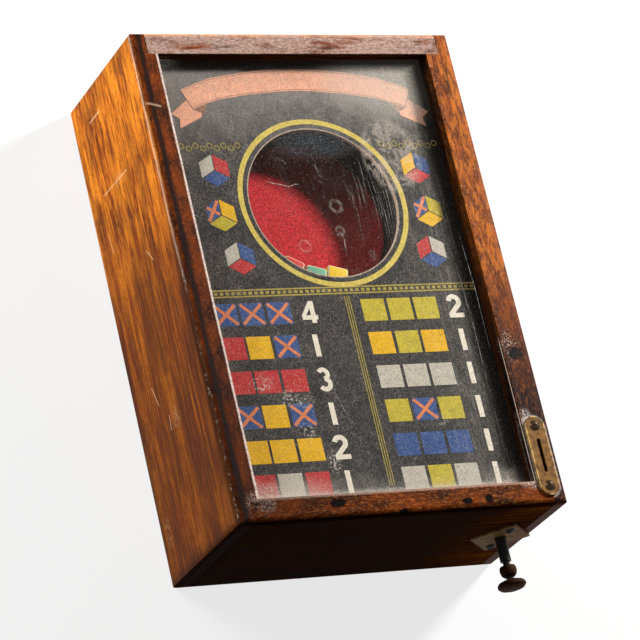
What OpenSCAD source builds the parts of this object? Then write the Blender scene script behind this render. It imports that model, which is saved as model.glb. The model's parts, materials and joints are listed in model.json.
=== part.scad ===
// A counter-top trade stimulator: three dice on a felt turntable that a battery motor spins under
// a round window. A coin and a push plunger start it. The cabinet lies on its back, so +Z is its
// front, +Y its top end and +X the coin side. The origin is the middle of the back face.

/* [Cabinet] */
// Outside width of the cabinet
case_w = 203; // [190:1:230]
// Outside length of the cabinet
case_l = 295; // [285:1:330]
// Outside depth of the cabinet, back to front
case_d = 97; // [95:1:115]
// Thickness of the left side board
left_t = 15; // [13:0.5:18]
// Thickness of the right side board, which holds the coin slit
right_t = 17.5; // [16.5:0.5:20]
// Thickness of the end board that the plunger passes through
near_t = 14; // [12:0.5:18]
// Thickness of the far end board and of the strip in front of it
far_t = 14; // [12:0.5:18]
// Wood left outside each corner rabbet
joint_lip = 9; // [7:0.5:11]
// Depth of the removable strip, measured from the front
strip_d = 10; // [8:0.5:12]
// Gap at each end of the removable strip
strip_gap = 0.4; // [0.2:0.1:0.8]
// Round on the long outer edges
arris_r = 4; // [2:0.5:6]
// Round on the four upright corners
corner_r = 3.5; // [2:0.5:5]
// Thickness of the back panel
back_t = 5; // [4:0.5:6]
// Clearance round the back panel
back_gap = 0.5; // [0.3:0.1:1]
// Side of the square battens that the back panel is screwed to
stop_side = 8; // [7:0.5:10]

/* [Glass and card] */
// Thickness of the glass
glass_t = 2.8; // [2:0.1:3]
// Width of the glass groove
groove_w = 3.2; // [3.1:0.1:3.6]
// Depth of the glass groove
groove_deep = 5; // [3:0.5:6]
// Room between the glass edge and the groove's bottom
glass_room = 1; // [0.5:0.5:2]
// Wood in front of the glass groove
lip_t = 2.8; // [2:0.1:3.5]
// Depth of the card's face below the cabinet's front
card_drop = 9.8; // [9:0.1:12]
// Thickness of the award card
card_t = 2; // [1:0.5:3]
// Gap round the award card
card_gap = 0.4; // [0.2:0.1:1]
// Radius of the round window in the card
window_r = 46; // [40:1:48]
// Distance from the far end to the window's centre
window_down = 103.2; // [98:0.1:108]
// Width of the battens under the card
batten_w = 5; // [4:0.5:7]
// Height of the battens under the card
batten_h = 8; // [5:0.5:9]

/* [Cup and turntable] */
// Inside radius of the dice cup
cup_r = 50; // [49:0.5:54]
// Wall of the dice cup
cup_t = 1.2; // [0.8:0.1:2]
// Width of the cup's foot flange
flange_w = 9; // [8:0.5:12]
// Height under the shelf for the motor and the cells
works_room = 43; // [42:0.5:47]
// Thickness of the felt
felt_t = 2; // [1:0.5:3]
// Thickness of the turntable
disc_t = 3; // [2:0.5:4]
// Gap between the turntable and the cup
disc_gap = 0.8; // [0.5:0.1:1.5]
// Gap between the turntable and the shelf
disc_lift = 3.3; // [2.5:0.1:4]
// Radius of the turntable hub's flange
hub_flange_r = 14; // [11:0.5:18]
// Thickness of the turntable hub's flange
hub_flange_t = 1.5; // [1:0.5:2]
// Radius of the turntable hub's boss
hub_r = 6; // [5:0.5:7]
// Thickness of the shelf
shelf_t = 6; // [5:0.5:8]
// Side of the square cleats under the shelf
cleat_side = 10; // [8:0.5:12]
// Shelf beyond the battery holder or the cup's flange
shelf_over = 1; // [0.5:0.5:5]

/* [Dice] */
// Side of each die
die_side = 12.7; // [11:0.1:13.5]
// Round on each die's edges
die_round = 1.6; // [1:0.1:2.5]
// Distance from the cup wall to each die's centre
die_in = 9.5; // [9:0.1:11]
// Place of the green die round the cup, in degrees
green_place = -102; // [-180:1:180]
// Distance along the cup from the green die to the red one
red_apart = 14.6; // [14:0.1:30]
// Distance along the cup from the green die to the yellow one
yellow_apart = 13.4; // [13.2:0.1:30]

/* [Coin] */
// Diameter of the coin that the slot takes
coin_d = 19; // [17:0.5:20]
// Width of the coin slit
slit_w = 2.2; // [1.8:0.1:2.6]
// Room at both ends of the slit together
slit_room = 0.8; // [0.4:0.1:2]
// Distance from the right face to the slit's middle
coin_in = 10.6; // [10:0.1:11.5]
// Distance from the plunger end to the slit's middle
coin_up = 28.5; // [28:0.1:32]
// Length of the coin plate
plate_l = 47; // [44:0.5:52]
// Width of the coin plate
plate_w = 12.2; // [10:0.1:14]
// Thickness of the coin plate
plate_t = 1.5; // [1:0.1:2.5]
// Distance between the coin plate's screws
plate_screws = 35.8; // [32:0.1:38]
// Thickness of the sheet metal of the coin chute
sheet_t = 0.8; // [0.6:0.1:1.2]
// Length of the pocket for the chute
pocket_l = 42; // [40:1:46]
// Inside length of the cash tray
tray_l = 68; // [55:1:72]
// Inside width of the cash tray
tray_w = 50; // [40:1:55]
// Height of the cash tray
tray_h = 16; // [12:1:18]

/* [Plunger] */
// Diameter of the plunger rod
rod_d = 6.35; // [6:0.05:7]
// Distance from the right face to the rod's axis
rod_in = 21.6; // [21:0.1:24]
// Height of the rod's axis above the back
rod_z = 51.2; // [50:0.1:54]
// Travel of the plunger
travel = 16.5; // [14:0.5:17]
// Diameter of the rod's threaded end
thread_d = 4; // [3.5:0.1:5]
// Diameter of the push button
knob_d = 16.3; // [14:0.1:20]
// Thickness of the push button
knob_t = 5.4; // [4:0.1:8]
// Diameter of the stop nut
nut_d = 9.7; // [9:0.1:12]
// Length of the stop nut
nut_l = 6.3; // [5:0.1:8]
// Side of the square plate round the rod
guard_side = 27.6; // [25:0.1:28]
// Thickness of that plate
guard_t = 1.6; // [1:0.1:2.5]
// Distance from the rod to each of that plate's screws
guard_screw = 12; // [11:0.1:13]
// Diameter of the return spring's wire
wire_d = 0.9; // [0.7:0.05:1]
// Number of turns of the return spring
spring_turns = 14; // [8:1:20]
// Length of the return spring at rest
spring_l = 56; // [50:1:60]

/* [Motor] */
// Diameter of the motor shaft
shaft_d = 4; // [3:0.1:5]
// Diameter of the armature
arm_d = 28; // [26:0.5:30]
// Gap between the armature and the pole shoes
air_gap = 0.4; // [0.3:0.1:1]
// Height of the iron stacks
stack_h = 14; // [10:1:15]
// Height of the windings above and below the iron
wind_over = 3; // [2:0.5:3]
// Outside diameter of the field ring
field_d = 54; // [52:1:58]
// Radial width of the field ring
field_w = 4; // [3:0.5:5]
// Diameter of the commutator
comm_d = 10; // [9:0.5:12]
// Height of the whole motor below the shelf
motor_h = 39; // [38:0.5:41]
// Thickness of the motor's end plates
end_plate_t = 1.5; // [1:0.1:2]

/* [Battery] */
// Diameter of each dry cell
cell_d = 33; // [32:0.1:34.2]
// Length of each dry cell with its cap
cell_l = 61; // [58:0.5:61.5]
// Diameter of the insulated leads
lead_d = 2.2; // [1.6:0.1:2.6]

/* [Hidden] */
$fn = 48;
fit_gap = 0.05;
overcut = 1;

mahogany = "#6b3213";
mahogany_dark = "#4a2110";
inner_wood = "#9a7148";
black_tin = "#1c1b1a";
brass = "#8a6a35";
dark_brass = "#54402a";
steel = "#8d8f92";
iron = "#4d4a48";
copper = "#a5562b";
fibre = "#5a2d20";

left_in = -case_w / 2 + left_t;
right_in = case_w / 2 - right_t;
near_in = -case_l / 2 + near_t;
far_in = case_l / 2 - far_t;
groove_z = case_d - lip_t - groove_w;
card_z = case_d - card_drop;
card_under = card_z - card_t;
window_y = case_l / 2 - window_down;
contact_room = 2;
holder_wall = 2;
shelf_z = back_t + works_room;
shelf_top = shelf_z + shelf_t;
disc_z = shelf_top + disc_lift;
disc_top = disc_z + disc_t;
disc_r = cup_r - disc_gap;
felt_z = disc_top + felt_t;
shelf_half = max(cup_r + cup_t + flange_w, cell_l + contact_room + holder_wall) + shelf_over;
shelf_y = window_y - shelf_half;
shelf_l = 2 * shelf_half;
shelf_hole_r = hub_r + 3;
hub_bottom = shelf_z + 1.5;

screw_r = 1.6;
small_r = 1.25;
countersink_h = 2;
shelf_screw_l = shelf_t + 6;
cup_screw_r = cup_r + cup_t + flange_w / 2;
cup_screw_l = shelf_t - 1;
strip_pin_r = 1.5;
strip_pin_l = strip_d + 8;
strip_pin_x = case_w / 2 - joint_lip - 18;

coin_x = case_w / 2 - coin_in;
coin_y = -case_l / 2 + coin_up;
slit_l = coin_d + slit_room;
rod_x = case_w / 2 - rod_in;
rod_r = rod_d / 2;
ledge_z = rod_z - coin_d / 2;
pocket_x = coin_x + slit_w / 2 + sheet_t;
pocket_top = rod_z + 16;
pocket_y = near_in + pocket_l;
chute_flange_l = 14;
chute_flange_h = 7;
tray_top = back_t + tray_h;

washer_t = 1;
hub_l = 5;
pusher_r = rod_r + 2.3;
lug_t = 2.5;
pusher_y = near_in + washer_t;
spring_y = pusher_y + hub_l;
spring_r = rod_r + 0.35 + wire_d / 2;
bracket_y = spring_y + spring_l;
bracket_t = 2;
guard_y = -case_l / 2 - guard_t;
nut_y = guard_y - 0.5 - travel;
neck_l = 2.2;
knob_y = nut_y - nut_l - neck_l;
rod_step_y = nut_y + 3;
tail_y = bracket_y + bracket_t + 2;
tail_r = rod_r - 0.8;
roller_l = 11;
roller_r = rod_r + 0.8;
ring_r = roller_r + 1.2;
ring_l = 6;
rod_end_y = tail_y + roller_l;
leaf_t = 0.5;
block_y = rod_end_y + travel + 3.5;
block_l = 12;
block_half = ring_r + 2.8;
switch_end = block_y + block_l + 2;
block_screw_l = right_in - rod_x + 4 + 8;
back_screw_l = back_t + 6;
coin_screw_l = 12;
guard_screw_l = 10;
holder_screw_l = sheet_t + 4;
motor_screw_l = end_plate_t + 4;
chute_screw_l = sheet_t + 6;
tray_screw_l = sheet_t + 3;
bracket_screw_l = bracket_t + 9;

axis_y = window_y;
motor_z = shelf_z - motor_h;
bolt_out = field_d / 2 + 1.5;
stack_z = motor_z + 15;
pole_r = arm_d / 2 + air_gap;
shoe_t = 2;
field_in = field_d / 2 - field_w;
comm_z = motor_z + end_plate_t + 2.2;
comm_h = stack_z - wind_over - comm_z - 1;
bearing_r = shaft_d / 2 + 2;
block_out = comm_d / 2 + 6;
brush_z = comm_z + comm_h / 2;
brush_tail = 10;

cell_x = left_in + cleat_side + 3 + cell_d / 2;
cell_z = shelf_z - sheet_t - cell_d / 2 - fit_gap;
tab_z = cell_z - cell_d / 2 - 1.5;
holder_l = 2 * cell_l + 2 * contact_room;
holder_y = window_y - holder_l / 2;

// Shapes used by several pieces

module rounded(w, h, r) {
    square([w - 2 * r, h], center = true);
    square([w, h - 2 * r], center = true);
    for (x = [-1, 1], y = [-1, 1])
        translate([x * (w / 2 - r), y * (h / 2 - r)]) circle(r);
}

module slot_shape(l, w) {
    square([w, l - w], center = true);
    for (s = [-1, 1]) translate([0, s * (l - w) / 2]) circle(w / 2);
}

module box(from, to) {
    translate(from) cube(to - from);
}

// The cabinet's outside with its long edges and corners rounded
module cabinet_form() {
    intersection() {
        linear_extrude(case_d) rounded(case_w, case_l, corner_r);
        translate([0, case_l / 2, case_d / 2])
            rotate([90, 0, 0]) linear_extrude(case_l) rounded(case_w, case_d, arris_r);
        translate([-case_w / 2, 0, case_d / 2])
            rotate([90, 0, 90]) linear_extrude(case_w) rounded(case_l, case_d, arris_r);
    }
}

// A cap of a sphere, flat side on z = 0
module dome(r, h) {
    ball = (r * r + h * h) / (2 * h);
    intersection() {
        translate([0, 0, h - ball]) sphere(ball);
        cylinder(h = h, r = r);
    }
}

// A screw whose head sits on z = 0 and whose shank points down
module round_screw(head, shank, l) {
    difference() {
        dome(head, head * 0.55);
        translate([-head, -head * 0.14, head * 0.3]) cube([2 * head, head * 0.28, head]);
    }
    translate([0, 0, -l]) cylinder(h = l, r = shank);
}

// A screw whose flat head is flush with z = 0
module flat_screw(shank, l) {
    difference() {
        translate([0, 0, -countersink_h]) cylinder(h = countersink_h, r1 = shank, r2 = shank * 2);
        translate([-shank * 2, -0.4, -0.7]) cube([shank * 4, 0.8, 1]);
    }
    translate([0, 0, -l]) cylinder(h = l - countersink_h, r = shank);
}

// The hole that a flat screw fills
module flat_screw_hole(shank, l) {
    translate([0, 0, -countersink_h]) cylinder(h = countersink_h, r1 = shank, r2 = shank * 2);
    translate([0, 0, -l]) cylinder(h = l, r = shank);
}

// Sweeps: a tube of the given radius along points, its sides joined ring to ring
function unit(v) = v / norm(v);
function heading(p, i) = unit(p[min(i + 1, len(p) - 1)] - p[max(i - 1, 0)]);
function side_of(d, up) = unit(cross(d, up));
function ring_at(p, i, r, sides, up) =
    let (d = heading(p, i), a = side_of(d, up), b = cross(a, d))
    [for (k = [0:sides - 1]) p[i] + r * (cos(360 * k / sides) * a + sin(360 * k / sides) * b)];

module swept_tube(p, r, sides, up) {
    n = len(p);
    verts = [for (i = [0:n - 1]) each ring_at(p, i, r, sides, up)];
    walls = [for (i = [0:n - 2], k = [0:sides - 1])
        let (a = i * sides + k, b = i * sides + (k + 1) % sides)
        each [[a, b, b + sides], [a, b + sides, a + sides]]];
    first = [for (k = [1:sides - 2]) [0, k + 1, k]];
    last = [for (k = [1:sides - 2]) [(n - 1) * sides, (n - 1) * sides + k, (n - 1) * sides + k + 1]];
    polyhedron(points = verts, faces = concat(walls, first, last), convexity = 6);
}

// Points on a smooth curve through hand-placed ones, straight between the first and last two
function spline_point(a, b, c, d, t) =
    0.5 * (2 * b + (c - a) * t + (2 * a - 5 * b + 4 * c - d) * t * t + (3 * b - a - 3 * c + d) * t * t * t);
function smooth(p, steps) = concat(
    [p[0]],
    [for (i = [1:len(p) - 3], s = [0:steps - 1])
        spline_point(p[i - 1], p[i], p[i + 1], p[i + 2], s / steps)],
    [p[len(p) - 2], p[len(p) - 1]]);

// Cabinet

module side_board(x0, x1, inner, into) {
    rabbet_x = -into * (case_w / 2 - joint_lip);
    difference() {
        intersection() {
            cabinet_form();
            box([x0, -case_l / 2, 0], [x1, case_l / 2, case_d]);
        }
        for (y = [[-case_l / 2 - overcut, near_in], [far_in, case_l / 2 + overcut]])
            box([min(rabbet_x, inner + into * overcut), y[0], -overcut],
                [max(rabbet_x, inner + into * overcut), y[1], case_d + overcut]);
        box([min(inner, inner - into * groove_deep) - (into < 0 ? overcut : 0), near_in - overcut, groove_z],
            [max(inner, inner - into * groove_deep) + (into > 0 ? overcut : 0), far_in + overcut,
             groove_z + groove_w]);
    }
}

module left_side() color(mahogany) side_board(-case_w / 2, left_in, left_in, 1);

module right_side() {
    relief_half = max(spring_r + wire_d / 2, ring_r) + 0.8;
    color(mahogany) difference() {
        side_board(right_in, case_w / 2, right_in, -1);
        translate([coin_x, coin_y, pocket_top - overcut])
            linear_extrude(case_d) square([slit_w, slit_l], center = true);
        translate([0, near_in, 0]) mirror([0, 1, 0]) rotate([90, 0, 0]) linear_extrude(pocket_l)
            polygon([[right_in - overcut, tray_top + 4], [right_in, tray_top + 4], [pocket_x, ledge_z - 6],
                     [pocket_x, pocket_top], [right_in - overcut, pocket_top]]);
        box([right_in - overcut, near_in, rod_z - relief_half],
            [max(right_in, rod_x + relief_half), block_y - 1, rod_z + relief_half]);
        at_coin_screws() flat_bore(small_r, coin_screw_l);
        at_bracket_screws() flat_bore(small_r, bracket_screw_l);
        at_chute_screws() flat_bore(small_r, chute_screw_l);
        at_block_screw() flat_bore(small_r, block_screw_l);
    }
}

module flat_bore(r, l) translate([0, 0, -l]) cylinder(h = l, r = r);

module plunger_end() {
    color(mahogany) difference() {
        intersection() {
            cabinet_form();
            box([-case_w / 2 + joint_lip, -case_l / 2, 0], [case_w / 2 - joint_lip, near_in, case_d]);
        }
        box([-case_w, near_in - groove_deep, groove_z], [case_w, near_in + overcut, groove_z + groove_w]);
        translate([rod_x, near_in + overcut, rod_z]) rotate([90, 0, 0])
            cylinder(h = near_t + 2 * overcut, r = rod_r + 0.35);
        at_guard_screws() flat_bore(screw_r, guard_screw_l);
        at_coin_screws() flat_bore(small_r, coin_screw_l);
    }
}

module far_end() {
    color(mahogany) difference() {
        intersection() {
            cabinet_form();
            box([-case_w / 2 + joint_lip, far_in, 0], [case_w / 2 - joint_lip, case_l / 2, case_d - strip_d]);
        }
        at_strip_pins() flat_bore(strip_pin_r, strip_pin_l);
    }
}

module at_strip_pins()
    for (s = [-1, 1]) translate([s * strip_pin_x, case_l / 2 - far_t / 2, case_d - 3]) children();

module glass_strip() {
    color(mahogany_dark) difference() {
        intersection() {
            cabinet_form();
            box([-case_w / 2 + joint_lip + strip_gap, far_in, case_d - strip_d],
                [case_w / 2 - joint_lip - strip_gap, case_l / 2, case_d]);
        }
        at_strip_pins() flat_bore(strip_pin_r, strip_pin_l);
    }
}

module strip_pins() color(steel) at_strip_pins() flat_bore(strip_pin_r, strip_pin_l);

module at_back_screws() {
    mid = stop_side / 2;
    for (x = [left_in + mid, right_in - mid], share = [0.35, 0.62, 0.89])
        translate([x, near_in + share * (far_in - near_in), 0]) mirror([0, 0, 1]) children();
    translate([(left_in + tray_side()) / 2, near_in + mid, 0]) mirror([0, 0, 1]) children();
    translate([(left_in + right_in) / 2, far_in - mid, 0]) mirror([0, 0, 1]) children();
}

function tray_side() = right_in - tray_w - 2 * sheet_t - 5;

module back_panel() {
    color(inner_wood) difference() {
        box([left_in + back_gap, near_in + back_gap, 0], [right_in - back_gap, far_in - back_gap, back_t]);
        at_back_screws() flat_screw_hole(screw_r, back_screw_l);
        at_tray_screws() flat_bore(small_r, tray_screw_l);
    }
}

module back_battens() {
    tray_end = near_in + tray_l + 2 * sheet_t + 4;
    top = back_t + stop_side;
    color(inner_wood) difference() {
        union() {
            box([left_in, near_in, back_t], [left_in + stop_side, far_in, top]);
            box([right_in - stop_side, tray_end, back_t], [right_in, far_in, top]);
            box([left_in + stop_side, near_in, back_t], [tray_side(), near_in + stop_side, top]);
            box([left_in + stop_side, far_in - stop_side, back_t], [right_in - stop_side, far_in, top]);
        }
        at_back_screws() flat_screw_hole(screw_r, back_screw_l);
    }
}

module back_screws() color(dark_brass) at_back_screws() flat_screw(screw_r, back_screw_l);

module glass_pane() {
    reach = groove_deep - glass_room;
    color("#c8d4d0", 0.3)
        box([left_in - reach, near_in - reach, groove_z], [right_in + reach, far_in, groove_z + glass_t]);
}

module award_card() {
    color("#2a2826") difference() {
        box([left_in + card_gap, near_in + card_gap, card_under], [right_in - card_gap, far_in - card_gap, card_z]);
        translate([0, window_y, card_under - overcut]) cylinder(h = card_t + 2 * overcut, r = window_r, $fn = 96);
    }
}

module card_battens() {
    low = card_under - batten_h;
    color(inner_wood) {
        box([left_in, near_in, low], [left_in + batten_w, far_in, card_under]);
        box([right_in - batten_w, near_in, low], [right_in, far_in, card_under]);
        box([left_in + batten_w, near_in, low], [right_in - batten_w, near_in + batten_w, card_under]);
        box([left_in + batten_w, far_in - batten_w, low], [right_in - batten_w, far_in, card_under]);
    }
}

// Shelf, cup and turntable

module at_shelf_screws()
    for (x = [left_in + cleat_side / 2, right_in - cleat_side / 2], y = [shelf_y + 12, shelf_y + shelf_l - 12])
        translate([x, y, shelf_top]) children();

module shelf_board() {
    color(inner_wood) difference() {
        box([left_in, shelf_y, shelf_z], [right_in, shelf_y + shelf_l, shelf_top]);
        translate([0, axis_y, shelf_z - overcut]) cylinder(h = shelf_t + 2 * overcut, r = shelf_hole_r);
        at_shelf_screws() flat_screw_hole(screw_r, shelf_screw_l);
        at_cup_screws() flat_bore(small_r, cup_screw_l);
        at_motor_screws() flat_bore(small_r, motor_screw_l);
        at_holder_screws() flat_bore(small_r, holder_screw_l);
        switch_notch();
    }
}

// Room that the shelf and its cleat leave round the plunger's switch
module switch_notch()
    box([rod_x - 9, shelf_y - overcut, shelf_z - 2 * cleat_side],
        [right_in + overcut, max(switch_end, shelf_y), shelf_top + overcut]);

module shelf_cleats() {
    color(inner_wood) difference() {
        for (x = [left_in, right_in - cleat_side])
            box([x, shelf_y, shelf_z - cleat_side], [x + cleat_side, shelf_y + shelf_l, shelf_z]);
        at_shelf_screws() flat_screw_hole(screw_r, shelf_screw_l);
        switch_notch();
    }
}

module shelf_screws() color(steel) at_shelf_screws() flat_screw(screw_r, shelf_screw_l);

module at_cup_screws()
    translate([0, axis_y, shelf_top + cup_t])
        for (a = [30:120:270]) rotate(a) translate([cup_screw_r, 0, 0]) children();

module dice_cup() {
    color(black_tin) difference() {
        translate([0, axis_y, 0]) rotate_extrude($fn = 96) polygon([
            [cup_r, shelf_top], [cup_r + cup_t + flange_w, shelf_top],
            [cup_r + cup_t + flange_w, shelf_top + cup_t], [cup_r + cup_t, shelf_top + cup_t],
            [cup_r + cup_t, card_under], [cup_r, card_under]]);
        at_cup_screws() flat_bore(small_r, 2 * cup_t);
    }
}

// The small round-headed screws inside the cabinet
module inner_screws() {
    head = 2.4;
    color(dark_brass) {
        at_cup_screws() round_screw(head, small_r, cup_screw_l);
        at_motor_screws() round_screw(head, small_r, motor_screw_l);
        at_holder_screws() round_screw(head, small_r, holder_screw_l);
        at_chute_screws() round_screw(head, small_r, chute_screw_l);
        at_tray_screws() round_screw(head, small_r, tray_screw_l);
        at_bracket_screws() round_screw(head, small_r, bracket_screw_l);
        at_block_screw() round_screw(head, small_r, block_screw_l);
        at_leaf_screws() round_screw(2, 1, leaf_t + 3);
    }
}

module turntable() {
    color(black_tin) translate([0, axis_y, disc_z]) difference() {
        cylinder(h = disc_t, r = disc_r, $fn = 96);
        translate([0, 0, -overcut]) cylinder(h = disc_t + 2 * overcut, r = shaft_d / 2);
    }
}

module felt_pad() {
    color("#a8202c") translate([0, axis_y, disc_top]) cylinder(h = felt_t, r = disc_r, $fn = 96);
}

module turntable_hub() {
    screw_z = (hub_bottom + disc_z - hub_flange_t) / 2;
    color(brass) translate([0, axis_y, 0]) difference() {
        union() {
            translate([0, 0, hub_bottom]) cylinder(h = disc_z - hub_bottom, r = hub_r);
            translate([0, 0, disc_z - hub_flange_t]) cylinder(h = hub_flange_t, r = hub_flange_r);
        }
        translate([0, 0, hub_bottom - overcut]) cylinder(h = disc_z - hub_bottom + 2 * overcut, r = shaft_d / 2);
        translate([0, 0, screw_z]) rotate([0, 90, 0]) cylinder(h = hub_r + overcut, r = 1);
    }
}

module hub_set_screw() {
    screw_z = (hub_bottom + disc_z - hub_flange_t) / 2;
    color(steel) translate([shaft_d / 2, axis_y, screw_z]) rotate([0, 90, 0]) cylinder(h = hub_r - shaft_d / 2, r = 1);
}

// A die lying on the felt: its place along the cup from the green one, and its turn on the felt
module die(apart, turn) {
    place = green_place + apart / (cup_r - die_in) * 180 / PI;
    half = die_side / 2 - die_round;
    translate([0, axis_y, felt_z + die_side / 2]) rotate(place)
        translate([cup_r - die_in, 0, 0]) rotate(turn - place)
        hull() for (x = [-half, half], y = [-half, half], z = [-half, half])
            translate([x, y, z]) sphere(die_round, $fn = 20);
}

module die_red() color("#b5222b") die(-red_apart, -28);
module die_green() color("#4f9a78") die(0, -16);
module die_yellow() color("#e8b21f") die(yellow_apart, -16);

// Motor, hung under the shelf on two long bolts

module on_axis(z) translate([0, axis_y, z]) children();

module at_motor_screws()
    for (s = [-1, 1]) translate([0, axis_y + s * (bolt_out + 8), shelf_z - end_plate_t])
        mirror([0, 0, 1]) children();

module at_motor_bolts() for (s = [-1, 1]) translate([0, axis_y + s * bolt_out, 0]) children();

module end_plate_shape(reach) {
    difference() {
        slot_shape(2 * reach, 14);
        circle(bearing_r);
        for (s = [-1, 1]) translate([0, s * bolt_out]) circle(2);
    }
}

module motor_shaft() {
    low = motor_z + 1;
    color(steel) on_axis(low) cylinder(h = disc_top - low, r = shaft_d / 2);
}

module armature_core() {
    color(iron) on_axis(stack_z) linear_extrude(stack_h) difference() {
        union() {
            circle(shaft_d / 2 + 3);
            for (a = [0:120:240]) rotate(a) {
                translate([0, -2.5]) square([arm_d / 2 - 1, 5]);
                intersection() {
                    difference() {
                        circle(arm_d / 2, $fn = 96);
                        circle(arm_d / 2 - shoe_t, $fn = 96);
                    }
                    polygon([[0, 0], [arm_d, -arm_d * 0.8], [arm_d, arm_d * 0.8]]);
                }
            }
        }
        circle(shaft_d / 2);
    }
}

module armature_winding() {
    inner = shaft_d / 2 + 3.6;
    half = 5;
    outer = sqrt(pow(arm_d / 2 - shoe_t - 0.2, 2) - half * half);
    color(copper) on_axis(stack_z) for (a = [0:120:240]) rotate(a) difference() {
        translate([inner, -half, -wind_over]) cube([outer - inner, 2 * half, stack_h + 2 * wind_over]);
        translate([inner - overcut, -2.5, 0]) cube([outer - inner + 2 * overcut, 5, stack_h]);
    }
}

module commutator_core() {
    color(fibre) on_axis(comm_z) difference() {
        cylinder(h = comm_h, r = comm_d / 2 - 1.2);
        translate([0, 0, -overcut]) cylinder(h = comm_h + 2 * overcut, r = shaft_d / 2);
    }
}

module commutator() {
    color(copper) on_axis(comm_z + 0.5) linear_extrude(comm_h - 1) difference() {
        circle(comm_d / 2);
        circle(comm_d / 2 - 1.2);
        for (a = [60:120:300]) rotate(a) translate([0, -0.4]) square([comm_d, 0.8]);
    }
}

module field_ring() {
    color(iron) on_axis(stack_z) linear_extrude(stack_h) difference() {
        union() {
            difference() {
                circle(field_d / 2, $fn = 96);
                circle(field_in, $fn = 96);
            }
            for (s = [-1, 1]) {
                translate([0, s * bolt_out]) circle(4.5);
                scale([s, 1]) {
                    translate([pole_r, -5]) square([field_in - pole_r + field_w / 2, 10]);
                    intersection() {
                        difference() {
                            circle(pole_r + shoe_t, $fn = 96);
                            circle(pole_r, $fn = 96);
                        }
                        polygon([[0, 0], [field_d, -field_d], [field_d, field_d]]);
                    }
                }
            }
        }
        circle(pole_r, $fn = 96);
        for (s = [-1, 1]) translate([0, s * bolt_out]) circle(2);
    }
}

module field_coils() {
    inner = pole_r + shoe_t + 0.4;
    outer = field_in - 1.9;
    color(copper) on_axis(stack_z) for (s = [0, 180]) rotate(s) difference() {
        translate([inner, -8.5, -wind_over]) cube([outer - inner, 17, stack_h + 2 * wind_over]);
        translate([inner - overcut, -5, 0]) cube([outer - inner + 2 * overcut, 10, stack_h]);
    }
}

module upper_end_plate() {
    color(steel) difference() {
        on_axis(shelf_z - end_plate_t) linear_extrude(end_plate_t) end_plate_shape(bolt_out + 14);
        at_motor_screws() flat_bore(small_r, motor_screw_l);
    }
}

module lower_end_plate() {
    color(steel) difference() {
        on_axis(motor_z) linear_extrude(end_plate_t) end_plate_shape(bolt_out + 5);
        at_brush_block() translate([0, 0, -overcut]) linear_extrude(end_plate_t + 2 * overcut)
            for (x = [-4, 4]) translate([x, 0]) circle(1);
    }
}

module bearing(z, h) {
    color(brass) on_axis(z) difference() {
        cylinder(h = h, r = bearing_r);
        translate([0, 0, -overcut]) cylinder(h = h + 2 * overcut, r = shaft_d / 2 + fit_gap);
    }
}

module motor_bearings() {
    bearing(shelf_z - end_plate_t - 2, end_plate_t + 2);
    bearing(motor_z, end_plate_t + 1.5);
}

module motor_bolts() {
    color(steel) at_motor_bolts() {
        translate([0, 0, motor_z]) cylinder(h = motor_h, r = 2);
        translate([0, 0, motor_z - 2]) cylinder(h = 2, r = 3.6, $fn = 6);
    }
}

module motor_spacers() {
    color(steel) at_motor_bolts() for (z = [[motor_z + end_plate_t, stack_z], [stack_z + stack_h, shelf_z - end_plate_t]])
        translate([0, 0, z[0]]) difference() {
            cylinder(h = z[1] - z[0], r = 3.2);
            translate([0, 0, -overcut]) cylinder(h = z[1] - z[0] + 2 * overcut, r = 2);
        }
}

module at_brush_block() for (s = [0, 180])
    translate([0, axis_y, motor_z]) rotate(s) translate([0, block_out, 0]) children();

module brush_blocks() {
    color(fibre) at_brush_block() {
        translate([-6.5, -2, end_plate_t]) cube([13, 4, comm_z + comm_h - motor_z - end_plate_t - 1.5]);
        for (x = [-4, 4]) translate([x, 0, 0]) cylinder(h = end_plate_t, r = 1);
    }
}

// Spring leaves that bear on the commutator, each with a tail for its lead
module brushes() {
    edge = comm_d / 2 + fit_gap;
    color(brass) for (s = [0, 180]) on_axis(brush_z - 1.5) rotate(s) {
        translate([-6.5, edge, 0]) cube([9, leaf_t, 3]);
        translate([-6.5, edge, 0]) cube([leaf_t, block_out - 2 - edge, 3]);
        translate([-brush_tail, block_out - 2 - leaf_t, 0]) cube([brush_tail - 0.5, leaf_t, 3]);
    }
}

// Battery

module at_holder_screws()
    for (y = [holder_y + 16, holder_y + holder_l - 16])
        translate([cell_x - cell_d / 2 + 2, y, shelf_z - sheet_t]) mirror([0, 0, 1]) children();

module battery_holder() {
    half = cell_d / 2 + 3;
    clip_in = cell_d / 2 + 0.2;
    color(steel) difference() {
        union() {
            box([cell_x - half, holder_y - holder_wall, shelf_z - sheet_t],
                [cell_x + half, holder_y + holder_l + holder_wall, shelf_z]);
            for (y = [holder_y - holder_wall, holder_y + holder_l])
                box([cell_x - half, y, cell_z - cell_d / 2], [cell_x + half, y + holder_wall, shelf_z - sheet_t]);
            for (y = [0.25, 0.75]) translate([cell_x, holder_y + holder_l * y + 6, cell_z])
                rotate([90, 0, 0]) linear_extrude(12) difference() {
                    circle(clip_in + 1, $fn = 96);
                    circle(clip_in, $fn = 96);
                    translate([-cell_d, -cell_d * 1.3]) square([2 * cell_d, cell_d]);
                    translate([-cell_d, cell_d / 2 + fit_gap + sheet_t / 2]) square([2 * cell_d, cell_d]);
                }
        }
        at_holder_screws() flat_bore(small_r, holder_screw_l);
    }
}

module battery_contacts() {
    drop = cell_d / 2 + 3;
    color(brass) for (s = [[holder_y, 1], [holder_y + holder_l, -1]])
        translate([cell_x, s[0], cell_z]) scale([1, s[1], 1]) {
            translate([-5, 0, -drop]) cube([10, leaf_t, drop + 6]);
            translate([-3, 0, -3]) cube([6, contact_room, 6]);
        }
}

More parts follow.
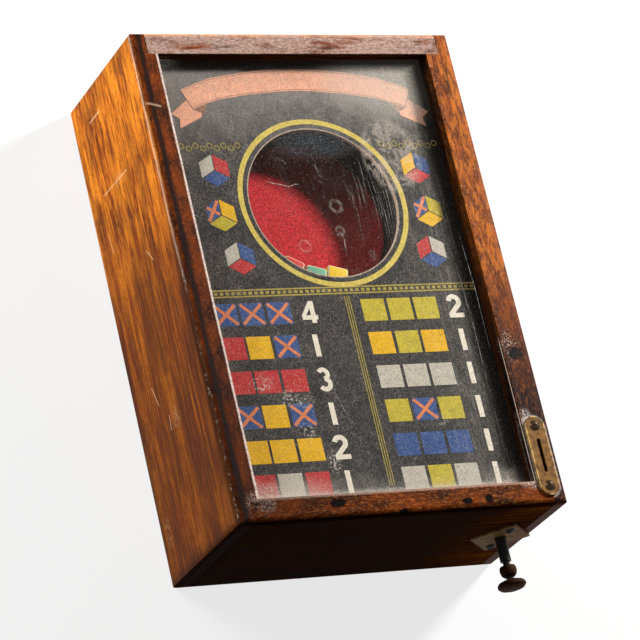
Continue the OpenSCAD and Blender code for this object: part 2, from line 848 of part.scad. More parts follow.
module cell(y) {
    body = cell_l - 1.5;
    translate([cell_x, y, cell_z]) rotate([-90, 0, 0]) rotate_extrude() polygon([
        [0, 0], [cell_d / 2 - 1, 0], [cell_d / 2, 0.6], [cell_d / 2, body - 0.6],
        [cell_d / 2 - 1, body], [4.8, body], [4.5, cell_l], [0, cell_l]]);
}

module dry_cells()
    color("#7d2b24") for (i = [0, 1]) cell(holder_y + contact_room + i * cell_l);

// Coin parts

module at_coin_screws()
    for (s = [-1, 1]) translate([coin_x, coin_y + s * plate_screws / 2, case_d]) children();

module coin_plate() {
    color(brass) difference() {
        translate([coin_x, coin_y, case_d]) linear_extrude(plate_t) difference() {
            slot_shape(plate_l, plate_w);
            slot_shape(slit_l, slit_w);
        }
        at_coin_screws() translate([0, 0, -overcut]) cylinder(h = plate_t + 2 * overcut, r = small_r);
    }
}

module coin_plate_screws()
    color(dark_brass) at_coin_screws() translate([0, 0, plate_t]) round_screw(3.1, small_r, coin_screw_l + plate_t);

module at_chute_screws()
    for (y = [0.28, 0.72])
        translate([right_in - sheet_t, pocket_y + chute_flange_l * y, pocket_top - chute_flange_h / 2])
            rotate([0, -90, 0]) children();

// Folded tin: two cheeks a coin's width apart, a ledge that ends where the coin is to drop, a stop
// wall, and a flange that is screwed to the side board
module coin_chute() {
    inner = coin_x - slit_w / 2;
    outer = coin_x + slit_w / 2;
    drop_y = pusher_y + lug_t + travel + coin_d / 2 - 1;
    slot_end = pusher_y + lug_t + travel + 2;
    start = near_in + 0.4;
    stop = pocket_y - 0.4;
    color(steel) difference() {
        union() {
            box([inner - sheet_t, start, ledge_z - sheet_t], [inner, stop, pocket_top]);
            box([outer, start, ledge_z - sheet_t], [outer + sheet_t, stop, pocket_top]);
            box([inner - sheet_t, start, ledge_z - sheet_t], [outer + sheet_t, drop_y, ledge_z]);
            box([inner - sheet_t, stop - sheet_t, ledge_z - sheet_t], [outer + sheet_t, stop, pocket_top]);
            box([right_in - sheet_t, start, pocket_top - sheet_t], [inner, stop, pocket_top]);
            box([right_in - sheet_t, start, pocket_top - chute_flange_h],
                [right_in, pocket_y + chute_flange_l, pocket_top]);
        }
        box([inner - sheet_t - overcut, near_in, rod_z - 4], [coin_x, slot_end, rod_z + 4]);
        at_chute_screws() flat_bore(small_r, chute_screw_l);
    }
}

module at_tray_screws()
    for (y = [0.3, 0.7])
        translate([right_in - tray_w / 2, near_in + tray_l * y, back_t + sheet_t]) children();

module cash_tray() {
    x0 = right_in - tray_w - 2 * sheet_t - 0.6;
    y0 = near_in + 1;
    color(steel) difference() {
        box([x0, y0, back_t], [x0 + tray_w + 2 * sheet_t, y0 + tray_l + 2 * sheet_t, tray_top]);
        box([x0 + sheet_t, y0 + sheet_t, back_t + sheet_t],
            [x0 + tray_w + sheet_t, y0 + tray_l + sheet_t, tray_top + overcut]);
        at_tray_screws() flat_bore(small_r, tray_screw_l);
    }
}

// Plunger, along the rod's axis

module along_rod(y) translate([rod_x, y, rod_z]) rotate([-90, 0, 0]) children();

module at_pusher_screw()
    translate([rod_x - rod_r, pusher_y + hub_l / 2, rod_z]) rotate([0, -90, 0]) children();

module coin_pusher() {
    color(brass) difference() {
        union() {
            along_rod(pusher_y) cylinder(h = hub_l, r = pusher_r);
            box([rod_x, pusher_y, rod_z - 2.8],
                [coin_x + slit_w / 2 - 0.4, pusher_y + lug_t, rod_z + 2.8]);
        }
        along_rod(pusher_y - overcut) cylinder(h = hub_l + 2 * overcut, r = rod_r);
        at_pusher_screw() cylinder(h = pusher_r, r = 1);
    }
}

module pusher_screw() color(steel) at_pusher_screw() cylinder(h = pusher_r - rod_r + 0.6, r = 1);

module at_guard_screws()
    for (s = [-1, 1]) translate([rod_x, -case_l / 2, rod_z + s * guard_screw]) rotate([90, 0, 0]) children();

module plunger_guard() {
    color(brass) difference() {
        along_rod(guard_y) linear_extrude(guard_t) rotate(45) square(guard_side, center = true);
        along_rod(guard_y - overcut) cylinder(h = guard_t + 2 * overcut, r = rod_r + 0.35);
        at_guard_screws() translate([0, 0, -overcut]) cylinder(h = guard_t + 2 * overcut, r = screw_r);
    }
}

module guard_screws()
    color(dark_brass) at_guard_screws() translate([0, 0, guard_t]) round_screw(3.1, screw_r, guard_screw_l + guard_t);

module plunger_rod() {
    color("#2b2a29") {
        along_rod(knob_y - knob_t + 1.5) cylinder(h = rod_step_y - knob_y + knob_t - 1.5, r = thread_d / 2);
        along_rod(rod_step_y) cylinder(h = tail_y - rod_step_y, r = rod_r);
        along_rod(tail_y) cylinder(h = roller_l, r = tail_r);
    }
}

module stop_nut() {
    color(dark_brass) difference() {
        along_rod(nut_y - nut_l) rotate_extrude() polygon([
            [0, 0], [nut_d * 0.3, 0], [nut_d * 0.44, nut_l * 0.2], [nut_d / 2, nut_l * 0.5],
            [nut_d / 2, nut_l * 0.8], [nut_d * 0.44, nut_l], [0, nut_l]]);
        along_rod(nut_y - nut_l - overcut) cylinder(h = nut_l + 2 * overcut, r = thread_d / 2);
    }
}

module push_button() {
    color(dark_brass) difference() {
        along_rod(knob_y - knob_t) rotate_extrude() polygon([
            [0, 0], [knob_d * 0.28, 0.2], [knob_d * 0.43, 1], [knob_d / 2, 2.2], [knob_d / 2, 3.2],
            [knob_d * 0.45, knob_t - 1], [knob_d * 0.3, knob_t], [0, knob_t]]);
        along_rod(knob_y - knob_t + 1.5) cylinder(h = knob_t, r = thread_d / 2);
    }
}

module buffer_washer() {
    color("#3a2618") along_rod(near_in) difference() {
        cylinder(h = washer_t, r = pusher_r);
        translate([0, 0, -overcut]) cylinder(h = washer_t + 2 * overcut, r = rod_r + 0.35);
    }
}

spring_steps = 8;
spring_span = spring_l - wire_d - 0.2;
spring_points = [for (i = [0:spring_turns * spring_steps])
    [spring_r * cos(360 * i / spring_steps), spring_r * sin(360 * i / spring_steps),
     0.1 + wire_d / 2 + spring_span * i / (spring_turns * spring_steps)]];
spring_gap = min([for (i = [spring_steps:len(spring_points) - 1])
    norm(spring_points[i] - spring_points[i - spring_steps]) - wire_d]);
echo(least_gap_between_spring_turns = spring_gap);

module return_spring()
    color(steel) along_rod(spring_y) swept_tube(spring_points, wire_d / 2, 6, [0, 0, 1]);

module at_bracket_screws()
    for (y = [6, 14])
        translate([right_in - bracket_t, bracket_y + y, pocket_top - 4]) rotate([0, -90, 0]) children();

module guide_bracket() {
    color(steel) difference() {
        union() {
            box([rod_x - 7, bracket_y, rod_z - 7], [right_in, bracket_y + bracket_t, pocket_top]);
            box([right_in - bracket_t, bracket_y, rod_z + 7], [right_in, bracket_y + 19, pocket_top]);
        }
        along_rod(bracket_y - overcut) cylinder(h = bracket_t + 2 * overcut, r = rod_r + fit_gap);
        at_bracket_screws() flat_bore(small_r, bracket_screw_l);
    }
}

// A fibre bush on the rod's tail and the brass ring that it carries
module contact_bush() {
    color(fibre) along_rod(tail_y) difference() {
        cylinder(h = roller_l, r = roller_r);
        translate([0, 0, -overcut]) cylinder(h = roller_l + 2 * overcut, r = tail_r);
    }
}

module contact_ring() {
    color(brass) along_rod(tail_y + (roller_l - ring_l) / 2) difference() {
        cylinder(h = ring_l, r = ring_r);
        translate([0, 0, -overcut]) cylinder(h = ring_l + 2 * overcut, r = roller_r);
    }
}

// Switch: two leaves on a fibre block, which the ring bridges when the plunger is in

module at_block_screw()
    translate([rod_x - 4, block_y + 3, rod_z]) rotate([0, -90, 0]) children();

module at_leaf_screws()
    for (s = [0, 180]) translate([rod_x, block_y + 9, rod_z]) rotate([0, s, 0])
        translate([0, 0, block_half + leaf_t]) children();

module switch_block() {
    color(fibre) difference() {
        box([rod_x - 4, block_y, rod_z - block_half], [right_in, block_y + block_l, rod_z + block_half]);
        at_block_screw() flat_bore(small_r, block_screw_l);
        at_leaf_screws() flat_bore(1, leaf_t + 3);
    }
}

module switch_leaves() {
    touch = ring_r + fit_gap;
    color(brass) difference() {
        for (s = [1, -1]) translate([rod_x, block_y, rod_z]) scale([1, 1, s]) {
            translate([-3, 0, 0]) rotate([90, 0, 90]) linear_extrude(6) polygon([
                [block_l, block_half], [block_l, block_half + leaf_t], [-1, block_half + leaf_t],
                [-6, touch + leaf_t], [-9, touch + leaf_t], [-12, touch + 2 + leaf_t],
                [-12.4, touch + 2], [-9.2, touch], [-5.8, touch], [-1, block_half]]);
            translate([-8, 7, block_half]) cube([6, 4, leaf_t]);
        }
        at_leaf_screws() flat_bore(1, leaf_t + 3);
    }
}

// Cloth-covered leads, by the points that their middles pass through
lead_steps = 4;
switch_tab = [rod_x - 8, block_y + 9, block_half + leaf_t / 2];
brush_far = [-brush_tail, axis_y + block_out - 2 - leaf_t / 2, brush_z];
brush_near = [brush_tail, axis_y - block_out + 2 + leaf_t / 2, brush_z];
battery_far = [cell_x, holder_y + holder_l, tab_z];
battery_near = [cell_x, holder_y, tab_z];

battery_to_motor = [
    battery_far, battery_far + [0, 4, 0], battery_far + [8, 8, 0], battery_far + [22, 2, 2],
    [battery_far[0] + 30, axis_y + 34, brush_z], brush_far + [-10, 4, 0], brush_far + [-4, 0, 0],
    brush_far];
motor_to_switch = [
    brush_near, brush_near + [4, 0, 0], brush_near + [22, -16, 3],
    [rod_x - 32, shelf_y + 16, shelf_z - 20], [rod_x - 24, shelf_y - 1, shelf_z - 4],
    [rod_x - 20, shelf_y - 5, rod_z + 2], [rod_x - 15, switch_tab[1], rod_z + switch_tab[2]],
    [rod_x - 8, switch_tab[1], rod_z + switch_tab[2]]];
switch_to_battery = [
    [rod_x - 8, switch_tab[1], rod_z - switch_tab[2]], [rod_x - 13, switch_tab[1], rod_z - switch_tab[2]],
    [rod_x - 30, shelf_y - 18, rod_z - 15], [0, shelf_y - 22, rod_z - 23],
    battery_near + [14, -12, 4], battery_near + [0, -5, 0], battery_near];

module leads()
    color("#4b3a22") for (route = [battery_to_motor, motor_to_switch, switch_to_battery])
        swept_tube(smooth(route, lead_steps), lead_d / 2, 8, [0.1, 0.2, 1]);

// Every piece by name
left_side();
right_side();
plunger_end();
far_end();
glass_strip();
strip_pins();
back_panel();
back_battens();
back_screws();
glass_pane();
award_card();
card_battens();
shelf_board();
shelf_cleats();
shelf_screws();
dice_cup();
inner_screws();
turntable();
felt_pad();
turntable_hub();
hub_set_screw();
die_red();
die_green();
die_yellow();
motor_shaft();
armature_core();
armature_winding();
commutator_core();
commutator();
field_ring();
field_coils();
upper_end_plate();
lower_end_plate();
motor_bearings();
motor_bolts();
motor_spacers();
brush_blocks();
brushes();
battery_holder();
battery_contacts();
dry_cells();
coin_plate();
coin_plate_screws();
coin_chute();
cash_tray();
coin_pusher();
pusher_screw();
plunger_guard();
guard_screws();
plunger_rod();
stop_nut();
push_button();
buffer_washer();
return_spring();
guide_bracket();
contact_bush();
contact_ring();
switch_block();
switch_leaves();
leads();
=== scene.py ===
"""Looks of a wooden counter game box: boards, glass, printed award card, felt, dice and brass.

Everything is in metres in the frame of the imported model. Sizes given in millimetres go through mm().
"""
import json
import math
import random

import bmesh
import bpy
from bpy.props import FloatProperty, FloatVectorProperty, PointerProperty
from mathutils import Matrix, Vector, noise
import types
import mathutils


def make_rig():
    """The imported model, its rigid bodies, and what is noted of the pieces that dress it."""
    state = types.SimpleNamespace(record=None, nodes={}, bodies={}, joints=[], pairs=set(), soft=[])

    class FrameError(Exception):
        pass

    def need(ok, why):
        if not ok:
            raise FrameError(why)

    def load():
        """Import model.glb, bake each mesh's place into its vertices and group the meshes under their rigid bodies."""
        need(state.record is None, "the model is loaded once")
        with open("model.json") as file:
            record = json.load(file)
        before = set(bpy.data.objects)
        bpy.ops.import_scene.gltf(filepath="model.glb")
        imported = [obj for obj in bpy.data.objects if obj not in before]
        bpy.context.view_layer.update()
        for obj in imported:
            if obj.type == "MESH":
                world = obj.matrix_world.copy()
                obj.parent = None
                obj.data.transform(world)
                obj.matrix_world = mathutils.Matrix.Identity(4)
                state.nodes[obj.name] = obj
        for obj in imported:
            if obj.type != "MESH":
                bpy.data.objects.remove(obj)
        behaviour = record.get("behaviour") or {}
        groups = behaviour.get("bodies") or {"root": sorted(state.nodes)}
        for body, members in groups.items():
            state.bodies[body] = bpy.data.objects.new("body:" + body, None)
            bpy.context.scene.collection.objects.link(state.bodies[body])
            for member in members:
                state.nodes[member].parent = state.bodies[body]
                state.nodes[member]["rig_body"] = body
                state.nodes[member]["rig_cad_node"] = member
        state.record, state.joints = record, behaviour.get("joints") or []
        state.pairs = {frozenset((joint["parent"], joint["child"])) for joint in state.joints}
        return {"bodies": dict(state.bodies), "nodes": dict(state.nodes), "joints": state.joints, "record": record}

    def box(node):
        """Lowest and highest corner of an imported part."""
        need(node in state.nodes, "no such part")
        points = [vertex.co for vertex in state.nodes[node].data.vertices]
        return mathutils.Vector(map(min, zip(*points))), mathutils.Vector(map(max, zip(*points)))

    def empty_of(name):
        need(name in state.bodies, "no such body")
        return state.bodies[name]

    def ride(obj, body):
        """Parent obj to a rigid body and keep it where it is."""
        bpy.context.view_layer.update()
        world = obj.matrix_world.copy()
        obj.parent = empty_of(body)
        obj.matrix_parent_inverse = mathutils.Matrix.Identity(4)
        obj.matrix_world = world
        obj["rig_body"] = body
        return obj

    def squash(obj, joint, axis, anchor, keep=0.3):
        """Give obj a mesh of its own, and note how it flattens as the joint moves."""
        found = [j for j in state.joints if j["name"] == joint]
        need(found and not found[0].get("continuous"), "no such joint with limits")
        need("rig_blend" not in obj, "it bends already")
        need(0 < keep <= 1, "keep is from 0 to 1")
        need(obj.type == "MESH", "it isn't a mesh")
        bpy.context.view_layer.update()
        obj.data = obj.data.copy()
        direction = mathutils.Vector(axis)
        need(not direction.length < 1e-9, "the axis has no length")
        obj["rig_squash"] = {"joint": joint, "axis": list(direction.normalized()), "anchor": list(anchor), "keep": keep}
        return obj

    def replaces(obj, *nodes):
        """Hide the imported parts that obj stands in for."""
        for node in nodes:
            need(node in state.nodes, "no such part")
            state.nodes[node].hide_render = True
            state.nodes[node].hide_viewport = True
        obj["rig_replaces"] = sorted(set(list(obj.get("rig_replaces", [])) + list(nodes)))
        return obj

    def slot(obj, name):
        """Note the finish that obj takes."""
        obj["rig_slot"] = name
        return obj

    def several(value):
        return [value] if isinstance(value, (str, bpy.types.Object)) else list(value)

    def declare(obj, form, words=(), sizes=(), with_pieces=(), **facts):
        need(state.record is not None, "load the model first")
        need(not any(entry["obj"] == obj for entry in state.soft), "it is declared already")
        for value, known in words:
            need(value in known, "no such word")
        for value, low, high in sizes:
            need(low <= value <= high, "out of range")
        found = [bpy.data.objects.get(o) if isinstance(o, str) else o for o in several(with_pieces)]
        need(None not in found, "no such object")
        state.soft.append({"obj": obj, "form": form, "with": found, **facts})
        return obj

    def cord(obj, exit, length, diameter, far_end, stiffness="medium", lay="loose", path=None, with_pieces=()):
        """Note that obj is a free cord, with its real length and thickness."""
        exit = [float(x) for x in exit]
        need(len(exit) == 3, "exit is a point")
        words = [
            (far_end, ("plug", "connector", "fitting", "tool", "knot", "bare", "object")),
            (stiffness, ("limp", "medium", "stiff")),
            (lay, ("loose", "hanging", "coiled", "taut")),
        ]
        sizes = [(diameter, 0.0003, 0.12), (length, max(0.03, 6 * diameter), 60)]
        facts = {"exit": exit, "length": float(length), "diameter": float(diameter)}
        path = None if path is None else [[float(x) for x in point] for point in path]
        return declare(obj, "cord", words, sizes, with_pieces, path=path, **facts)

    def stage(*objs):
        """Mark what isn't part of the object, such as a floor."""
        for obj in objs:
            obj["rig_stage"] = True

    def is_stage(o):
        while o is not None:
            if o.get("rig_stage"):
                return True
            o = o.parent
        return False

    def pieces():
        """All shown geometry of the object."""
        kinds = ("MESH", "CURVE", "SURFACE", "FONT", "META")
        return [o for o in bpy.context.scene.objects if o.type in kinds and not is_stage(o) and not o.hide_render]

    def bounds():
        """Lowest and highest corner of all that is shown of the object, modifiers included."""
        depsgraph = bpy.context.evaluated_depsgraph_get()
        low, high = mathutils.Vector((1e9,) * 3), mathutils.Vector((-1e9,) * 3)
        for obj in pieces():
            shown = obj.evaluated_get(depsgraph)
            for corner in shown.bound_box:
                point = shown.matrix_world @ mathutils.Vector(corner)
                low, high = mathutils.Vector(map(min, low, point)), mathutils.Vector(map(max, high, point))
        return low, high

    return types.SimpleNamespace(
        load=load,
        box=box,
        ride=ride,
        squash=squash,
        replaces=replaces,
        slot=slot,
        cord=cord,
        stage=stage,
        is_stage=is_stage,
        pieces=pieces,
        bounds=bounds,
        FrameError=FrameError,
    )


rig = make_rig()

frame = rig.load()
CAD_BOX = [list(corner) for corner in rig.bounds()]

bl_info = {
    "name": "Dice Box Game",
    "version": (1, 0, 0),
    "blender": (4, 5, 0),
    "location": "View3D > Sidebar > Dice Box",
    "description": "Dresses the packed model of a coin-operated dice box in its finishes",
    "category": "Object",
}


# Measures and colours

def mm(*values):
    """Millimetres to metres: one number, or a tuple of several."""
    return values[0] * 0.001 if len(values) == 1 else tuple(v * 0.001 for v in values)


def in_mm(metres):
    return metres * 1000


def ink(code):
    """A colour from six hexadecimal digits, as linear light."""
    parts = [int(code[i:i + 2], 16) / 255 for i in (0, 2, 4)]
    return tuple(c / 12.92 if c <= 0.04045 else ((c + 0.055) / 1.055) ** 2.4 for c in parts)


def opaque(colour):
    return (*colour, 1.0)


def dim(colour, share):
    return tuple(c * share for c in colour)


def node_middle(node):
    low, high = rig.box(node)
    return (low + high) / 2


def length_setting(label, about, value):
    return FloatProperty(name=label, description=about, default=mm(value), unit="LENGTH", precision=4)


def share_setting(label, about, value):
    return FloatProperty(name=label, description=about, default=value, min=0, max=1, subtype="FACTOR")


def colour_setting(label, about, code):
    return FloatVectorProperty(name=label, description=about, default=ink(code), size=3, min=0, max=1,
                               subtype="COLOR")


class BoardSettings(bpy.types.PropertyGroup):
    light: colour_setting("Light Wood", "Colour of the palest streaks", "d2781a")
    middle: colour_setting("Wood", "Main colour of the boards", "893c09")
    dark: colour_setting("Dark Wood", "Colour of the darkest streaks", "341303")
    soil: colour_setting("Soil", "Colour of the old varnish and dirt on the rails", "230d04")
    varnish: colour_setting("Varnish", "Colour of the red varnish on the rails", "7a3209")
    bare: colour_setting("Bare Wood", "Colour where the varnish has chipped off", "b65c12")
    pine: colour_setting("Softwood", "Colour of the unvarnished boards inside", "a88a5e")
    arris: length_setting("Arris", "Rounding of the boards' edges", 1.7)
    wear: length_setting("Wear", "How far the wear reaches in from an edge", 1.6)
    streak: length_setting("Streak", "Width of a streak in the grain", 3.2)


class GlassSettings(bpy.types.PropertyGroup):
    dust: colour_setting("Dust", "Colour of the dirt on the glass", "c4bcae")
    haze: share_setting("Haze", "How much of the pane's face is veiled", 0.004)
    shine: share_setting("Shine", "How much of the surroundings the pane mirrors", 0.002)


class CardSettings(bpy.types.PropertyGroup):
    ground: colour_setting("Card", "Colour of the card's black face", "282a2c")
    pulp: colour_setting("Card Edge", "Colour of the cut edge of the card", "cdb9a4")
    gold: colour_setting("Gold", "Ring, rules and band", "dcc661")
    olive: colour_setting("Olive", "Olive squares", "cdbb3c")
    yellow: colour_setting("Yellow", "Yellow squares", "f3bd1f")
    red: colour_setting("Red", "Red squares", "c83a3c")
    blue: colour_setting("Blue", "Blue squares", "3d5a92")
    orange: colour_setting("Orange", "Crosses on the blue squares", "e8895a")
    grey: colour_setting("Grey", "Grey-white squares", "cbc5b6")
    cream: colour_setting("Cream", "Numerals", "f6eeda")
    salmon: colour_setting("Salmon", "Ribbon", "ffb896")
    square: length_setting("Square", "Width of a square of the tables", 14.6)
    square_high: length_setting("Square Height", "Height of a square of the tables", 13.4)
    ring_in: length_setting("Ring Inside", "Inner radius of the ring round the window", 49.3)
    ring_out: length_setting("Ring Outside", "Outer radius of the ring round the window", 52.4)
    print_lift: length_setting("Ink", "Height of the print above the card", 0.06)


class FeltSettings(bpy.types.PropertyGroup):
    red: colour_setting("Felt", "Colour of the felt", "ea3c44")
    deep: colour_setting("Felt Shade", "Colour between the felt's fibres", "7a1018")
    nap: length_setting("Nap", "Height of the felt's unevenness", 0.25)


class DiceSettings(bpy.types.PropertyGroup):
    body: colour_setting("Dice", "Colour of the dice's edges", "f0e2c4")
    red: colour_setting("Red Face", "Colour of the red die's faces", "dc3c34")
    green: colour_setting("Green Face", "Colour of the green die's faces", "74b492")
    yellow: colour_setting("Yellow Face", "Colour of the yellow die's faces", "f6cb30")
    rounding: length_setting("Rounding", "Radius of a die's edges", 1.6)
    rim: length_setting("Rim", "Width of the pale rim between two faces", 1.1)


class MetalSettings(bpy.types.PropertyGroup):
    brass: colour_setting("Brass", "Colour of the aged brass plates", "6b4a1e")
    tarnish: colour_setting("Tarnish", "Colour of the tarnish on brass", "3a2410")
    knob: colour_setting("Knob", "Colour of the browned button and nut", "2e1808")
    steel: colour_setting("Steel", "Colour of plain steel", "9a9a98")
    rust: colour_setting("Rust", "Colour of the rust on steel", "6b3a1c")
    iron: colour_setting("Iron", "Colour of the motor's iron", "5c5a57")
    black: colour_setting("Blackening", "Colour of blackened steel and tin", "191817")
    copper: colour_setting("Copper", "Colour of the enamelled wire", "a3562c")


class SmallSettings(bpy.types.PropertyGroup):
    fibre: colour_setting("Fibre", "Colour of the vulcanised fibre", "6a2a1e")
    jacket: colour_setting("Jacket", "Colour of the dry cells' jackets", "8f3326")
    jacket_band: colour_setting("Jacket Band", "Colour of the bands on the jackets", "c9a14a")
    cotton: colour_setting("Cotton", "Colour of the leads' cotton cover", "7c6a44")
    leather: colour_setting("Leather", "Colour of the leather washer", "5b3a22")
    lead: length_setting("Lead", "Thickness of a lead", 2.2)


class StageSettings(bpy.types.PropertyGroup):
    floor: share_setting("Floor", "Brightness of the floor where light falls on it", 0.2)
    key: FloatProperty(name="Main Light", description="Power of the soft light from the upper right",
                       default=42.0, min=0, unit="POWER")
    side: FloatProperty(name="Side Light", description="Power of the soft light on the left side",
                        default=24.0, min=0, unit="POWER")
    sky: share_setting("Surroundings", "Strength of the light from all round", 0.03)
    lens: FloatProperty(name="Lens", description="Focal length of the camera in millimetres",
                        default=195.54, min=1, unit="CAMERA")


# Shader nodes

class Wire:
    """The output of a shader node, which a Python expression can add to, multiply and so on."""

    def __init__(self, finish, socket):
        self.finish, self.socket = finish, socket

    def __getitem__(self, name):
        """Another output of the same node."""
        return Wire(self.finish, self.socket.node.outputs[name])

    def __add__(self, other):
        return self.finish.sum("ADD", self, other)

    def __sub__(self, other):
        return self.finish.sum("SUBTRACT", self, other)

    def __rsub__(self, other):
        return self.finish.sum("SUBTRACT", other, self)

    def __mul__(self, other):
        return self.finish.sum("MULTIPLY", self, other)

    def __truediv__(self, other):
        return self.finish.sum("DIVIDE", self, other)

    def __rtruediv__(self, other):
        return self.finish.sum("DIVIDE", other, self)

    def __abs__(self):
        return self.finish.sum("ABSOLUTE", self)

    __radd__ = __add__
    __rmul__ = __mul__


class Finish:
    """One material, or the surroundings, built node by node in millimetres of the frame."""

    def __init__(self, name, surroundings=False):
        self.output = "ShaderNodeOutputWorld" if surroundings else "ShaderNodeOutputMaterial"
        self.made = (bpy.data.worlds if surroundings else bpy.data.materials).new(name)
        self.made.use_nodes = True
        self.tree = self.made.node_tree
        self.tree.nodes.clear()
        self.colour = None
        place = self.node("ShaderNodeTexCoord")
        self.point = self.vector("SCALE", place["Object"], Scale=1000.0)
        self.x, self.y, self.z = self.split(self.point)
        self.nx, self.ny, self.nz = self.split(place["Normal"])

    def node(self, kind, settings=None, sockets=None):
        """Adds a node: its settings are set first, then the values or wires of its sockets."""
        made = self.tree.nodes.new(kind)
        for name, value in (settings or {}).items():
            if name == "stops":
                ramp = made.color_ramp
                while len(ramp.elements) < len(value):
                    ramp.elements.new(1.0)
                for element, (place, colour) in zip(ramp.elements, value):
                    element.position, element.color = place, opaque(colour)
            else:
                setattr(made, name, value)
        for name, value in (sockets or {}).items():
            if isinstance(value, Wire):
                self.tree.links.new(value.socket, made.inputs[name])
            elif made.inputs[name].type == "RGBA" and len(value) == 3:
                made.inputs[name].default_value = opaque(value)
            else:
                made.inputs[name].default_value = value
        return Wire(self, made.outputs[0]) if made.outputs else None

    def sum(self, operation, *values):
        return self.node("ShaderNodeMath", {"operation": operation}, dict(enumerate(values)))

    def vector(self, operation, *values, **named):
        sockets = {**dict(enumerate(values)), **named}
        return self.node("ShaderNodeVectorMath", {"operation": operation}, sockets)

    def split(self, wire):
        parts = self.node("ShaderNodeSeparateXYZ", None, {0: wire})
        return parts["X"], parts["Y"], parts["Z"]

    def join(self, x, y, z=0.0):
        return self.node("ShaderNodeCombineXYZ", None, {0: x, 1: y, 2: z})

    def least(self, *values):
        found = values[0]
        for value in values[1:]:
            found = self.sum("MINIMUM", found, value)
        return found

    def most(self, *values):
        found = values[0]
        for value in values[1:]:
            found = self.sum("MAXIMUM", found, value)
        return found

    def ease(self, value, start, stop):
        """0 up to start, 1 from stop on, and a smooth step between; falling if stop is the lower."""
        if stop < start:
            return 1 - self.ease(value, stop, start)
        return self.node("ShaderNodeMapRange", {"interpolation_type": "SMOOTHSTEP"},
                         {"Value": value, "From Min": start, "From Max": stop})

    def clouds(self, size, detail=3.0, rough=0.5, stretch=(1, 1, 1), warp=0.0, seed=0.0):
        """Noise with features of a size in millimetres, longer along axes with a larger stretch."""
        scale = tuple(1 / (size * s) for s in stretch)
        spot = self.vector("MULTIPLY", self.point, scale)
        spot = self.vector("ADD", spot, (seed, seed * 1.7, seed * 0.6))
        return self.node("ShaderNodeTexNoise", None,
                         {"Vector": spot, "Scale": 1.0, "Detail": detail, "Roughness": rough,
                          "Distortion": warp})

    def spots(self, low, high, *cloud, **named):
        """Clouds cut at two levels: 0 below the low one and 1 above the high one."""
        return self.ease(self.clouds(*cloud, **named), low, high)

    def cells(self, size):
        """Distance from the middles of cells of a size in millimetres."""
        spot = self.vector("SCALE", self.point, Scale=1 / size)
        return self.node("ShaderNodeTexVoronoi", {"feature": "F1"}, {"Vector": spot, "Scale": 1.0})

    def facing(self, part, start=0.4):
        """1 on faces that look along a part of the normal, 0 on faces that turn away from it."""
        return self.ease(part, start, 0.8)

    def away(self, spot):
        """Millimetres from a point, seen from above."""
        return self.vector("DISTANCE", self.join(self.x, self.y), (*spot, 0.0))["Value"]

    def lines(self, along, width):
        """0 to 1 and back over each pair of lines of a width along a value."""
        return self.sum("PINGPONG", along, width) / width

    def mix(self, share, first, second):
        """A colour between two, by a share from 0 to 1."""
        return self.node("ShaderNodeMix", {"data_type": "RGBA"}, {0: share, 6: first, 7: second})[2]

    def shade(self, colour, amount):
        """The colour times a grey amount, or times another colour."""
        grey = amount if isinstance(amount, tuple) else self.join(amount, amount, amount)
        return self.node("ShaderNodeMix", {"data_type": "RGBA", "blend_type": "MULTIPLY"},
                         {0: 1.0, 6: colour, 7: grey})[2]

    def lay(self, share, colour):
        """Lays a colour, or six hexadecimal digits, over the finish by a share from 0 to 1."""
        self.colour = self.mix(share, self.colour, ink(colour) if isinstance(colour, str) else colour)

    def tone(self, amount):
        """Makes the finish darker or brighter by a grey amount."""
        self.colour = self.shade(self.colour, amount)

    def bumps(self, height, depth):
        """A normal from a height of 0 to 1 that stands depth millimetres."""
        return self.node("ShaderNodeBump", None,
                         {"Height": height, "Distance": mm(depth), "Strength": 1.0})

    def surface(self, colour, rough, normal=None, metallic=0.0, **fixed):
        """The Principled shader. The fixed values, by name with _ for a space, are plain numbers."""
        sockets = {"Base Color": colour, "Roughness": rough, "Metallic": metallic}
        if normal:
            sockets["Normal"] = normal
        sockets.update({name.replace("_", " "): value for name, value in fixed.items()})
        return self.node("ShaderNodeBsdfPrincipled", None, sockets)

    def done(self, shader):
        self.node(self.output, None, {"Surface": shader})
        return self.made

    def coat(self, rough, height, depth, metallic=0.0, shine=0.5, **fixed):
        """Ends the finish as one surface in its colour, with bumps depth millimetres high."""
        return self.done(self.surface(self.colour, rough, self.bumps(height, depth), metallic,
                                      Specular_IOR_Level=shine, **fixed))

    def edge_distance(self, low, high):
        """Millimetres from the nearest edge of a box, on its faces."""
        gaps = []
        for value, a, b in zip((self.x, self.y, self.z), low, high):
            gaps.append(self.least(value - in_mm(a), in_mm(b) - value))
        return gaps[0] + gaps[1] + gaps[2] - self.least(*gaps) - self.most(*gaps)

    def stroke(self, axes, start, stop, width):
        """1 on a straight scratch between two points of a plane given by two of the axes, 0 off it."""
        across, along = (getattr(self, name) for name in axes)
        dx, dy = stop[0] - start[0], stop[1] - start[1]
        length = math.hypot(dx, dy)
        dx, dy = dx / length, dy / length
        u = (across - start[0]) * dx + (along - start[1]) * dy
        v = abs((across - start[0]) * dy - (along - start[1]) * dx)
        outside = self.most(-1 * u, u - length, v)
        return self.ease(outside, width, width * 0.3)

    def strokes(self, axes, table):
        """The most of several scratches, each its start, its stop and its width."""
        return self.most(*[self.stroke(axes, *row) for row in table])

    def patch(self, axes, middle, radii, soft=1.0, ragged=0.0):
        """1 in the middle of an oval and 0 outside it, with a ragged edge if that is asked for."""
        across, along = (getattr(self, name) for name in axes)
        u, v = (across - middle[0]) / radii[0], (along - middle[1]) / radii[1]
        away = u * u + v * v
        if ragged:
            away = away + (self.clouds(1.6, 4, 0.75, seed=middle[0]) - 0.5) * ragged
        return self.ease(away, 1.0, 1.0 - soft)

